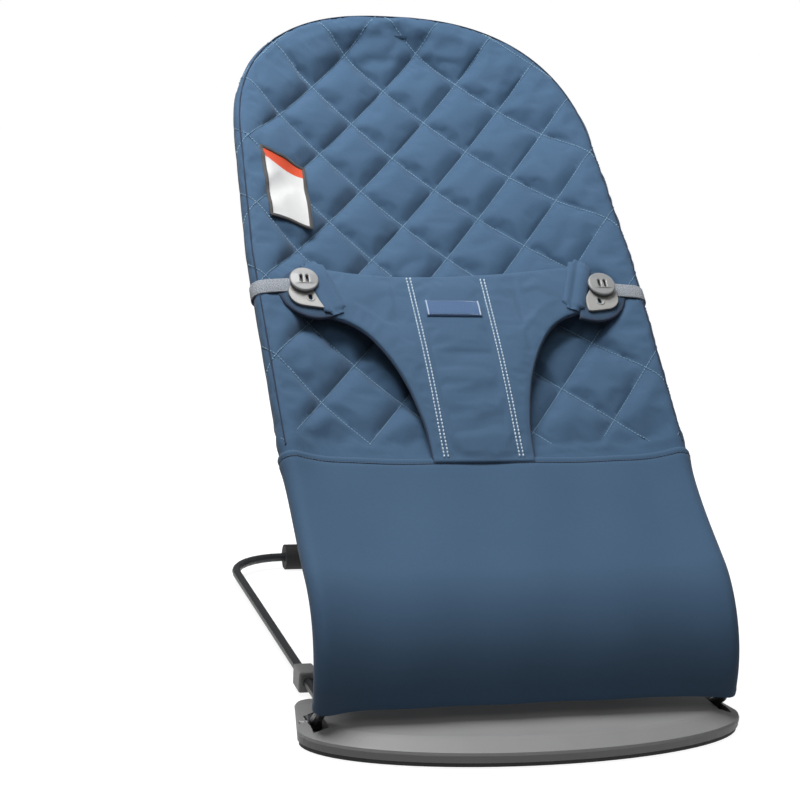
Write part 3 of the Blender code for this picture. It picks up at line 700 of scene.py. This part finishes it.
def settle(points, triangles, pinned, most, growth, pressure):
    """Lets a cloth bulge and pucker between its pinned points, and returns where it comes to rest."""
    guide = add_mesh("cloth_guide", points, triangles, QUILT)
    group = guide.vertex_groups.new(name="pins")
    group.add([int(i) for i in np.flatnonzero(pinned)], 1.0, "REPLACE")
    cloth = guide.modifiers.new("cloth", "CLOTH")
    cloth.settings.quality = 6
    cloth.settings.mass = 0.15
    cloth.settings.tension_stiffness = 12
    cloth.settings.compression_stiffness = 12
    cloth.settings.shear_stiffness = 6
    cloth.settings.bending_stiffness = 0.25
    cloth.settings.vertex_group_mass = "pins"
    cloth.settings.shrink_min = -growth
    cloth.settings.use_pressure = True
    cloth.settings.uniform_pressure_force = pressure
    cloth.settings.effector_weights.gravity = 0
    cloth.collision_settings.use_collision = False
    cloth.collision_settings.use_self_collision = False
    cloth.point_cache.frame_start = 1
    cloth.point_cache.frame_end = SETTLE_FRAMES
    scene = bpy.context.scene
    for number in range(1, SETTLE_FRAMES + 1):
        scene.frame_set(number)
    shown = guide.evaluated_get(bpy.context.evaluated_depsgraph_get())
    rest = np.zeros(len(points) * 3, np.float32)
    shown.data.vertices.foreach_get("co", rest)
    move = rest.reshape(-1, 3).astype(float) - points
    length = np.linalg.norm(move, axis=1)
    move *= np.minimum(1.0, most / np.clip(length, 1e-9, None))[:, None]
    bpy.data.objects.remove(guide)
    scene.frame_set(1)
    return points + move


def quilt_stitches():
    """Thread dashes along every seam of the quilting that can be seen."""
    lines = []
    for number in range(-10, 14):
        step = np.linspace(-9, 16, 1600)
        for m, k in ((number + step, step - number), (number + step, number - step)):
            x, along = quilt_point(m, k)
            near = (np.abs(x) < 0.205) & (along > STITCH_LOW) & (along < PROFILE_LENGTH + 0.015)
            if near.sum() > 5:
                lines.append(np.stack([x[near], along[near]], 1))

    def on_front(x, along):
        _, _, out = from_tube(x, along)
        return out < 0.014

    sizes = (0.0031, 0.0021, 0.00062, 0.00055)  # pitch, dash, width, lift
    return stitches("quilt_stitching", lines, cover_face, QUILT_THREAD, *sizes, on_front)


def make_edging():
    """Sewn line that closes the cover's casing round the tube."""
    plan = TUBE_POINTS + CASING_SEAM_OUT * TUBE_NORMALS
    plan = plan[TUBE_POINTS[:, 1] > SEAM + 0.006][::3]
    return cord_along("casing_seam", cover_face(plan[:, 0], plan[:, 1], 0.0011), 0.0007, NAVY)


# ---------------------------------------------------------------- front panel

PANEL_ROW = 0.2384


def make_panel():
    """Plain cloth from the front plate to the seat seam, round the side tubes."""
    top_rows = [0.2372, 0.2384, 0.2396, 0.2412, 0.2427, 0.2438, 0.2445]
    rows = np.concatenate([np.linspace(0.0035, 0.2355, 70), top_rows])
    columns = np.linspace(-1, 1, 171)
    half = (side_half(rows) - TUBE_INSET + WRAP)[:, None]
    x = half * columns[None]
    along = np.broadcast_to(rows[:, None], x.shape)
    base = panel_face(x.ravel(), along.ravel())
    quads = grid_quads(len(rows), len(columns))
    normal = face_normals(base, halves(quads))
    s = along.ravel()
    row = np.exp(-(((s - PANEL_ROW) / 0.0013) ** 2)) * 0.0006
    fold = smooth((s - 0.2420) / 0.0028) * 0.0009
    hem = 0.0006 * np.exp(-(((s - 0.006) / 0.003) ** 2))
    front = base + normal * (hem - row - fold + 0.0002 * np.sin(s * 60))[:, None]
    back = base - normal * (PANEL_BODY + fold - hem)[:, None]
    count = len(base)
    border = grid_border(len(rows), len(columns))
    faces = quads + [tuple(i + count for i in q[::-1]) for q in quads]
    for a, b in zip(border, border[1:] + border[:1]):
        faces.append((b, a, a + count, b + count))
    flat = np.tile(np.stack([x.ravel(), s], 1), (2, 1))
    panel = add_mesh("front_panel_cloth", np.concatenate([front, back]), faces, PLAIN, flat, 75)
    line = [(-0.196, PANEL_ROW), (0.196, PANEL_ROW)]
    seam = stitches("panel_seam_stitching", [line], panel_face, BLUE_THREAD, 0.0030, 0.0021, 0.0006, 0.0002)
    return panel, seam


# ---------------------------------------------------------------- restraint

LEG_CURVE = (
    (0.0465, 0.2385),
    (0.0470, 0.2560),
    (0.0490, 0.2800),
    (0.0575, 0.3180),
    (0.0700, 0.3500),
    (0.0860, 0.3760),
    (0.1030, 0.3905),
    (0.1230, 0.3985),
)
WING_END = ((0.1230, 0.3985), (0.1310, 0.4220), (0.1415, 0.4575))
TOP_EDGE = (
    (0.1415, 0.4575),
    (0.1200, 0.4535),
    (0.0900, 0.4495),
    (0.0550, 0.4462),
    (0.0200, 0.4446),
    (0.0, 0.4444),
)
STITCH_ROWS = ((-0.0427, -0.0390), (0.0292, 0.0301))
ROW_TOP = 0.4430
RESTRAINT_SHIFT = -0.0040
RESTRAINT_TILT = 0.060
RESTRAINT_BODY = 0.0036
MESH_STEP = 0.0030


def restraint_depth(x, along):
    """Depth of the restraint's middle layer: it rises from the seam to its wings."""
    share = np.clip((along - SEAM) / 0.215, 0, 1)
    rise = np.sin(pi / 2 * np.minimum(share * 1.55, 1.0))
    wing = np.clip((np.abs(x) - 0.06) / 0.085, 0, 1)
    depth = 0.0020 - 0.0107 * rise
    return depth + 0.0022 * rise * (1 - wing) * share


def restraint_face(x, along, lift=0.0):
    middle = restraint_depth(np.asarray(x), np.asarray(along))
    return seat_points(x, along, middle - RESTRAINT_BODY / 2 - lift)


def hang(points):
    """Plan points of the restraint as it hangs: a little to the left, and higher on the right."""
    x, along = np.asarray(points, float).T
    ends = 1 - 0.6 * (x / BUTTON_X) ** 2
    share = smooth((along - SEAM) / 0.06)
    x = x + RESTRAINT_SHIFT * ends
    return np.stack([x, along + RESTRAINT_TILT * x * ends * share], 1)


def edge_distance(points, outline):
    """How far each plan point is from the outline."""
    ends = np.roll(outline, -1, axis=0)
    span = ends - outline
    offset = points[:, None] - outline[None]
    t = np.clip((offset * span).sum(2) / (span**2).sum(1), 0, 1)
    return np.linalg.norm(offset - t[..., None] * span, axis=2).min(1)


def within(points, outline):
    """Which plan points are inside the outline."""
    ends = np.roll(outline, -1, axis=0)
    x, y = points[:, :1], points[:, 1:]
    crossing = (outline[:, 1] > y) != (ends[:, 1] > y)
    drop = np.where(ends[:, 1] == outline[:, 1], 1e-12, ends[:, 1] - outline[:, 1])
    hit = outline[:, 0] + (y - outline[:, 1]) * (ends[:, 0] - outline[:, 0]) / drop
    return (crossing & (x < hit)).sum(1) % 2 == 1


def sewn_pad(name, outline, depth, body, spacing, finish, bulge=0.0, pinned=None, sag=0.0):
    """Closed flat pad with rounded edges, cut to a plan outline."""
    low, high = outline.min(0), outline.max(0)
    grid = np.stack(np.meshgrid(np.arange(low[0], high[0], spacing), np.arange(low[1], high[1], spacing)), -1)
    grid[1::2, :, 0] += spacing / 2
    grid = grid.reshape(-1, 2)
    grid = grid[within(grid, outline)]
    far = edge_distance(grid, outline)
    inset = []
    for step in (0.0007, 0.0018):
        heading = np.roll(outline, -1, axis=0) - np.roll(outline, 1, axis=0)
        heading /= np.linalg.norm(heading, axis=1)[:, None]
        inset.append(outline + np.stack([-heading[:, 1], heading[:, 0]], 1) * step)
    close = np.concatenate(inset)
    close = close[within(close, outline)]
    close = close[edge_distance(close, outline) > 0.0005]
    flat, triangles = triangulate(outline, np.concatenate([close, grid[far > 0.0030]]))
    away = edge_distance(flat, outline)
    edge = np.sqrt(np.clip(1 - (1 - np.clip(away / 0.0024, 0, 1)) ** 2, 0, 1))
    x, along = flat.T
    middle = depth(x, along)
    half = body / 2 * (0.12 + 0.88 * edge)
    swell = bulge * np.clip(away / 0.02, 0, 1) ** 0.8
    front = seat_points(x, along, middle - half - swell)
    back = seat_points(x, along, middle + half)
    if pinned is not None:
        front = settle(front, triangles, pinned(x, along, away), 0.0014, growth=sag, pressure=0.6)
    return closed_cloth(name, front, back, triangles, finish, flat)


def mirrored(points):
    return np.asarray(points)[::-1] * (-1, 1)


def make_restraint():
    """T-shaped restraint, its double rows of stitching and the piping of its leg openings."""
    leg = spline(LEG_CURVE)
    end = spline(WING_END)
    top = spline(TOP_EDGE)
    right = np.concatenate([leg, end[1:], top[1:]])
    bottom = np.stack([np.linspace(-0.0465, 0.0465, 32)[1:-1], np.full(30, LEG_CURVE[0][1])], 1)
    outline = hang(np.concatenate([right, mirrored(right)[1:], bottom]))

    def pinned(x, along, away):
        rows = np.zeros(len(x), bool)
        for high, low in STITCH_ROWS:
            rows |= np.abs(x - low - (high - low) * (along - SEAM) / (ROW_TOP - SEAM)) < 0.0022
        return rows | (away < 0.0035)

    sizes = (RESTRAINT_BODY, MESH_STEP, RESTRAINT, 0.0006, pinned, 0.009)
    pad = sewn_pad("restraint_cloth", outline, restraint_depth, *sizes)
    lines = []
    for high, low in STITCH_ROWS:
        for shift in (-0.0018, 0.0018):
            lines.append([(low + shift, 0.2430), (high + shift, ROW_TOP)])
    rows = stitches("restraint_stitching", lines, restraint_face, PALE_THREAD, 0.0036, 0.0023, 0.0010, 0.0009)
    pipes = []
    for side in (-1, 1):
        word = "left" if side < 0 else "right"
        hung = hang(leg * (side, 1))
        path = seat_points(hung[:, 0], hung[:, 1], restraint_depth(hung[:, 0], hung[:, 1]) + 0.0011)
        pipes.append(cord_along("leg_piping_" + word, path, 0.0011, NAVY))
    return pad, rows, pipes


FOLD_PATH = ((0.1325, 0.4585), (0.1285, 0.4450), (0.1225, 0.4270), (0.1170, 0.4100), (0.1130, 0.3990))
FOLD_SECTION = (
    (-0.0098, -0.0012),
    (0.0098, -0.0012),
    (0.0112, -0.0002),
    (0.0110, 0.0010),
    (0.0094, 0.0019),
    (0.0072, 0.0022),
    (0.0050, 0.0017),
    (0.0030, 0.0009),
    (0.0012, 0.0013),
    (-0.0014, 0.0022),
    (-0.0042, 0.0025),
    (-0.0070, 0.0019),
    (-0.0096, 0.0007),
    (-0.0110, -0.0005),
)
POCKET_EDGE = ((0.1165, 0.3945), (0.1335, 0.3915), (0.1485, 0.3955), (0.1600, 0.4060), (0.1665, 0.4190))
POCKET_TOP = (
    (0.1665, 0.4190),
    (0.1655, 0.4310),
    (0.1590, 0.4420),
    (0.1490, 0.4480),
    (0.1390, 0.4500),
    (0.1250, 0.4250),
    (0.1165, 0.3945),
)
SLOT_INWARD = 0.0045
STEM_SIDES = 40


def make_wing(side):
    """Folded wing end, pocket, keyhole plate, button and strap on one side."""
    word = "left" if side < 0 else "right"
    flap_path = spline(hang(np.array(FOLD_PATH) * (side, 1)), 0.002)
    heights = np.interp(np.linspace(0, 1, len(flap_path)), (0, 0.3, 1), (0.0128, 0.0148, 0.0122))
    centre = seat_points(flap_path[:, 0], flap_path[:, 1], -heights + 0.0010)
    across, up = path_frames(centre, np.tile(BACK_OUT, (len(centre), 1)))
    steps = np.arange(len(centre))
    ends = np.clip(np.minimum(steps, steps[::-1]) / 3.0, 0.55, 1.0)
    flap = loft("wing_fold_" + word, centre, across, up, FOLD_SECTION, RESTRAINT, ends)
    pocket_edge = spline(POCKET_EDGE, 0.002)
    pocket_top = spline(POCKET_TOP, 0.002)
    outline = np.concatenate([pocket_edge, pocket_top[1:-1]]) * (side, 1)
    outline = outline if side > 0 else outline[::-1]

    def pocket_depth(x, along):
        return np.broadcast_to(-0.0090 + 0.0012 * np.clip((np.abs(x) - 0.150) / 0.02, 0, 1), along.shape)

    # The pocket is cut from the darkened restraint cotton: painted shade.
    pocket = sewn_pad("wing_pocket_" + word, outline, pocket_depth, 0.0026, MESH_STEP, RESTRAINT_PAINTED_SHADE)
    lip_depth = pocket_depth(pocket_edge[:, 0], pocket_edge[:, 1])
    lip_path = seat_points(pocket_edge[:, 0] * side, pocket_edge[:, 1], lip_depth - 0.0004)
    lip = cord_along("pocket_piping_" + word, lip_path, 0.0017, NAVY)
    pieces = [flap, pocket, lip]
    place = seat_matrix(side * BUTTON_X, BUTTON_ALONG, BUTTON_LEVEL)
    arc = [(0.0150 * cos(a), -0.0120 + 0.0150 * sin(a)) for a in np.linspace(radians(60), radians(255), 26)]
    corner = [(0.0080, -0.0285), (0.0160, -0.0292), (0.0182, -0.0262), (0.0168, -0.0120)]
    tip = spline([arc[-1], *corner, arc[0]], 0.0022)[1:-1].tolist()
    outline = [(-side * x, y) for x, y in arc + tip]
    slot = oval(-side * SLOT_INWARD, -0.0185, 0.0019, up=0.0030)
    keyhole = plate_shape("keyhole_plate_cast_" + word, [outline, slot], 0.0026, 0.0006, MID_GREY, place)
    turns = np.linspace(radians(-200), radians(20), 22)
    rim_path = [(-side * SLOT_INWARD + 0.0036 * cos(a), -0.0180 + 0.0040 * sin(a), 0.0012) for a in turns]
    rim_points = np.array([place @ Vector(p) for p in rim_path])
    rim = cord_along("keyhole_rim_" + word, rim_points, 0.0007, MID_GREY)
    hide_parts("keyhole_plate_" + word)
    pieces += [keyhole, rim]
    for piece in pieces:
        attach(piece, "back")
    disc = oval(0, 0, BUTTON_RADIUS, count=64)
    slots = [oval(x, 0, 0.0011, 0.0030, 0.0030, start=0.01) for x in (-0.0028, 0.0028)]
    raised = place @ Matrix.Translation((0, 0, 0.0058))
    sizes = (0.0030, 0.0013, BUTTON_GREY, raised, 0.0010, BUTTON_RADIUS)
    top = plate_shape("button_disc_" + word, [disc, *slots], *sizes)
    turned = [(0.0001, 0.0036), (0.0118, 0.0037), (0.0124, 0.0034), (0.0128, 0.0027), (0.0030, 0.0027)]
    turned += [(0.0030, -0.0018), (0.0085, -0.0019), (0.0085, -0.0040), (0.0001, -0.0041)]
    spokes = [(cos(tau * i / STEM_SIDES), sin(tau * i / STEM_SIDES)) for i in range(STEM_SIDES)]
    points = [place @ Vector((r * x, r * y, z)) for r, z in turned for x, y in spokes]
    faces = []
    for level in range(len(turned) - 1):
        for i in range(STEM_SIDES):
            a = level * STEM_SIDES + i
            b = level * STEM_SIDES + (i + 1) % STEM_SIDES
            faces.append((a, b, b + STEM_SIDES, a + STEM_SIDES))
    # The stem is near black so the disc's slots read dark: painted shade.
    stem = add_mesh("button_stem_" + word, points, faces, BUTTON_PAINTED_SHADE, crease=40)
    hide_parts("button_" + word)
    for piece in (top, stem):
        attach(piece, word + "_button")
    make_strap(side, word)


STRAP_TURN = radians(205)


def make_strap(side, word):
    """Webbing from the button over the tube and back under it."""
    rim = float(half_width(np.array(BUTTON_ALONG), TUBE_INSET))
    radius = CLOTH_RADIUS + 0.0014
    route = [(BUTTON_X + 0.0050, BUTTON_LEVEL + 0.0026), (BUTTON_X + 0.0120, BUTTON_LEVEL + 0.0027)]
    route += [(BUTTON_X + 0.0210, -0.0103), (rim - 0.0040, -radius - 0.0004)]
    route += [(rim + radius * sin(a), -radius * cos(a)) for a in np.linspace(radians(8), STRAP_TURN, 20)]
    route += [(rim + radius * sin(STRAP_TURN) - 0.010, 0.0062)]
    route = spline(route, 0.0020)
    bend = 0.004 * smooth(np.arange(len(route)) / len(route) * 2.4)
    centre = seat_points(route[:, 0] * side, BUTTON_ALONG - bend, route[:, 1])
    along = np.tile((0.0, cos(BACK_RISE), sin(BACK_RISE)), (len(centre), 1))
    ahead = np.gradient(centre, axis=0)
    ahead /= np.linalg.norm(ahead, axis=1)[:, None]
    up = np.cross(along, ahead)
    strap = loft("strap_webbing_" + word, centre, along, up, rounded(0.0078, 0.0014), WEBBING)
    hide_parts("strap_" + word)
    still = seat_point(side * 0.180, BUTTON_ALONG)
    carried = seat_point(side * 0.158, BUTTON_ALONG)
    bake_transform(strap)


# ---------------------------------------------------------------- tag and patch


def surface_of(piece):
    """The piece's finished surface, for laying things on it."""
    made = piece.data
    made.calc_loop_triangles()
    points = [v.co.copy() for v in made.vertices]
    return BVHTree.FromPolygons(points, [tuple(f.vertices) for f in made.loop_triangles])


def make_tag(surface):
    """Blank woven tag with raised ends and a dotted border."""
    x0, s0, half, tall = -0.0065, 0.4025, 0.0265, 0.0092
    normal = np.array(BACK_OUT)

    def restraint_top(x, along, lift=0.0):
        x, along, lift = (np.asarray(v, float).ravel() for v in np.broadcast_arrays(x, along, lift))
        start = seat_points(x, along, -0.06)
        far = [surface.ray_cast(Vector(s), Vector(-normal))[3] or 0.05 for s in start]
        return start - normal * (np.array(far) - lift)[:, None]

    over = np.linspace(-half, half, 37)
    columns, rows = np.meshgrid(over, np.linspace(-tall, tall, 13), indexing="ij")
    edge = np.clip(np.minimum(half - np.abs(columns), tall - np.abs(rows)) / 0.0008, 0, 1)
    lift = 0.0012 + 0.0007 * edge
    x, along = (x0 + columns).ravel(), (s0 + rows).ravel()
    front = restraint_top(x, along, lift.ravel())
    triangles = halves(flipped(grid_quads(*columns.shape)))
    back = restraint_top(x, along, 0.0004)
    tag = closed_cloth("woven_tag_cloth", front, back, triangles, TAG, np.stack([x, along], 1))
    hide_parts("woven_tag")
    bars = []
    for side in (-1, 1):
        heights = np.linspace(s0 - tall + 0.0006, s0 + tall - 0.0006, 8)
        path = restraint_top(np.full(8, x0 + side * (half - 0.0016)), heights, 0.0021)
        bars.append(cord_along("tag_end_" + ("left" if side < 0 else "right"), path, 0.0006, TAG_EDGE))
    levels = (s0 - tall + 0.0014, s0 + tall - 0.0014)
    lines = [[(x0 - half + 0.004, level), (x0 + half - 0.004, level)] for level in levels]
    dots = stitches("tag_border_stitching", lines, restraint_top, TAG_EDGE, 0.0016, 0.0008, 0.0005, 0.0020)
    for piece in (tag, *bars, dots):
        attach(piece, "back")


def make_patch(surface):
    """Blank sewn patch: white cloth, coloured header band, overlocked border."""
    corners = np.array([(-0.1610, 0.6070), (-0.1180, 0.5930), (-0.1210, 0.5140), (-0.1610, 0.5190)])
    normal = np.array(BACK_OUT)

    def on_cover(u, v):
        u, v = u.ravel(), v.ravel()
        weights = np.stack([(1 - u) * v, u * v, u * (1 - v), (1 - u) * (1 - v)], 1)
        plan = weights @ corners
        found = []
        for x, along in plan:
            origin = seat_points(x, along, -0.08)
            hit = surface.ray_cast(Vector(origin), Vector(-normal))
            found.append(0.08 if hit[0] is None else hit[3])
        return plan, np.array(found)

    across, down = 25, 49
    header = 0.84
    u, v = np.meshgrid(np.linspace(0, 1, across), np.linspace(0, 1, down), indexing="ij")
    plan, far = on_cover(u, v)
    far = far.reshape(across, down)
    for _ in range(40):
        padded = np.pad(far, 1, mode="edge")
        mean = (padded[2:, 1:-1] + padded[:-2, 1:-1] + padded[1:-1, 2:] + padded[1:-1, :-2]) / 4
        far = np.minimum(mean, far)
    depth = -0.08 + far.ravel() - 0.0009
    points = seat_points(plan[:, 0], plan[:, 1], depth)

    def strip(name, v_from, v_to, finish):
        first, last = int(round(v_from * (down - 1))), int(round(v_to * (down - 1)))
        chosen = np.array([c * down + r for c in range(across) for r in range(first, last + 1)])
        triangles = halves(flipped(grid_quads(across, last - first + 1)))
        back = points[chosen] - normal * 0.0005
        return closed_cloth(name, points[chosen], back, triangles, finish, plan[chosen])

    body = strip("sewn_patch_cloth", 0.0, header, PATCH_WHITE)
    band = strip("sewn_patch_band", header, 1.0, PATCH_BAND)
    net = points.reshape(across, down, 3)[:, : int(round(header * (down - 1))) + 1]
    wide = np.linalg.norm(np.diff(net, axis=0), axis=2).sum(0).mean()
    tall = np.linalg.norm(np.diff(net, axis=1), axis=2).sum(1).mean()
    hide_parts("sewn_patch")
    border = grid_border(across, down)
    path = points[border[:1] + border[::-1]] + normal * 0.0001
    up = np.tile(normal, (len(path), 1))
    sideways, up = path_frames(path, up)
    edge = loft("patch_overlock", path, sideways, up, rounded(0.0018, 0.0016), PATCH_EDGE)
    for piece in (body, band, edge):
        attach(piece, "back")


# ---------------------------------------------------------------- assembly

BEND_START = seat_point(0, SEAM - 0.012)
BEND_END = seat_point(0, SEAM + 0.060)


def bend(piece):
    """Fabric that crosses the sprung seam: its placement is baked into its points."""
    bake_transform(piece)


cover, cover_surface = make_cover()
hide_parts("quilted_cover", "cover_sleeve_left", "cover_sleeve_right", "cover_sleeve_head")
bend(cover)
quilting = quilt_stitches()
bend(quilting)

edging = make_edging()
bend(edging)

panel, panel_seam = make_panel()
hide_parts("front_panel", "front_sleeve_left", "front_sleeve_right")
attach(panel, "seat")
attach(panel_seam, "seat")

restraint, restraint_rows, piping = make_restraint()
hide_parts("restraint_panel")
for piece in (restraint, restraint_rows, *piping):
    bend(piece)

for side in (-1, 1):
    make_wing(side)
make_tag(surface_of(restraint))
make_patch(cover_surface)

CARRIED = {
    "front_plate": PLATE_GREY,
    "plate_pad": RUBBER,
    "rear_foot": RUBBER,
    "hinge_block": PLATE_GREY,
    "frame_coupler": PLATE_GREY,
    "recline_rack": PLATE_GREY,
    "hoop_sleeve": PLATE_GREY,
    "pivot_pin": PIN_STEEL,
    "hinge_pin": PIN_STEEL,
    "base_frame": DARK_STEEL,
    "support_hoop": DARK_STEEL,
    "seat_leg": DARK_STEEL,
    "side_tube": DARK_STEEL,
    "head_bow": DARK_STEEL,
}
for name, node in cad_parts.items():
    for start, finish in CARRIED.items():
        if name.startswith(start):
            for held in node.material_slots:
                held.material = finish


# ---------------------------------------------------------------- floor, light and camera


def make_floor():
    """Pale floor that throws no light back on the seat."""
    size = 9.0
    corners = [(-size, -size, 0), (size, -size, 0), (size, size, 0), (-size, size, 0)]
    floor = add_mesh("floor", corners, [(0, 1, 2, 3)], FLOOR)
    floor.location.z = -0.0005
    floor.visible_diffuse = False


def area_light(name, place, aim, size, power):
    """Round softbox that faces a point."""
    data = bpy.data.lights.new(name, "AREA")
    data.shape = "DISK"
    data.size = size
    data.energy = power
    lamp = bpy.data.objects.new(name, data)
    lamp.location = place
    lamp.rotation_euler = (Vector(aim) - Vector(place)).to_track_quat("-Z", "Y").to_euler()
    bpy.context.scene.collection.objects.link(lamp)


AMBIENT = (0.02, 0.34)  # light from below and from above


def studio_world():
    """White to the camera; for lighting, a soft ceiling over darker surroundings."""
    world = bpy.data.worlds.new("studio")
    world.use_nodes = True
    tree = world.node_tree
    glow = tree.nodes["Background"]
    glow.inputs["Color"].default_value = (1.0, 1.0, 1.0, 1.0)
    wall = tree.nodes.new("ShaderNodeBackground")
    wall.inputs["Color"].default_value = (1.0, 1.0, 1.0, 1.0)
    around = tree.nodes.new("ShaderNodeTexCoord")
    height = tree.nodes.new("ShaderNodeSeparateXYZ")
    ramp = tree.nodes.new("ShaderNodeMapRange")
    spread = {"From Min": -0.3, "From Max": 0.9, "To Min": AMBIENT[0], "To Max": AMBIENT[1]}
    for name, value in spread.items():
        ramp.inputs[name].default_value = value
    seen = tree.nodes.new("ShaderNodeLightPath")
    choice = tree.nodes.new("ShaderNodeMixShader")
    for source, target in (
        (around.outputs["Generated"], height.inputs[0]),
        (height.outputs["Z"], ramp.inputs["Value"]),
        (ramp.outputs[0], glow.inputs["Strength"]),
        (seen.outputs["Is Camera Ray"], choice.inputs[0]),
        (glow.outputs[0], choice.inputs[1]),
        (wall.outputs[0], choice.inputs[2]),
        (choice.outputs[0], tree.nodes["World Output"].inputs[0]),
    ):
        tree.links.new(source, target)
    bpy.context.scene.world = world


FLOOR = moulded("pale_floor", (0.35, 0.35, 0.35), 0.8, 300.0, 0.02, 0.01)
floor_shader = FLOOR.node_tree.nodes["Principled BSDF"]
floor_shader.inputs["Emission Color"].default_value = (1.0, 1.0, 1.0, 1.0)
floor_shader.inputs["Emission Strength"].default_value = 0.90
make_floor()
area_light("ceiling_softbox", (-0.30, -0.02, 1.42), (0, 0.05, 0.35), 0.8, 22)
area_light("front_fill", (-0.7, -2.4, 2.4), (0, 0, 0.25), 1.2, 9)
studio_world()
bpy.context.scene.view_settings.view_transform = "Standard"

CAMERA_PLACE = (-0.5205, -1.6653, 0.5583)
CAMERA_YAW, CAMERA_PITCH, CAMERA_ROLL = 0.2728, 0.1832, 0.0499
reach = cos(CAMERA_PITCH)
ahead = Vector((sin(CAMERA_YAW) * reach, cos(CAMERA_YAW) * reach, -sin(CAMERA_PITCH)))
level = Vector((cos(CAMERA_YAW), -sin(CAMERA_YAW), 0))
above = level.cross(ahead)
right = cos(CAMERA_ROLL) * level + sin(CAMERA_ROLL) * above
upward = cos(CAMERA_ROLL) * above - sin(CAMERA_ROLL) * level
camera = bpy.data.objects.new("camera", bpy.data.cameras.new("camera"))
camera.data.sensor_width = 36.0
camera.data.lens = 86.25
turned = Matrix((right, upward, -ahead)).transposed().to_4x4()
camera.matrix_world = Matrix.Translation(CAMERA_PLACE) @ turned
bpy.context.scene.collection.objects.link(camera)
bpy.context.scene.camera = camera
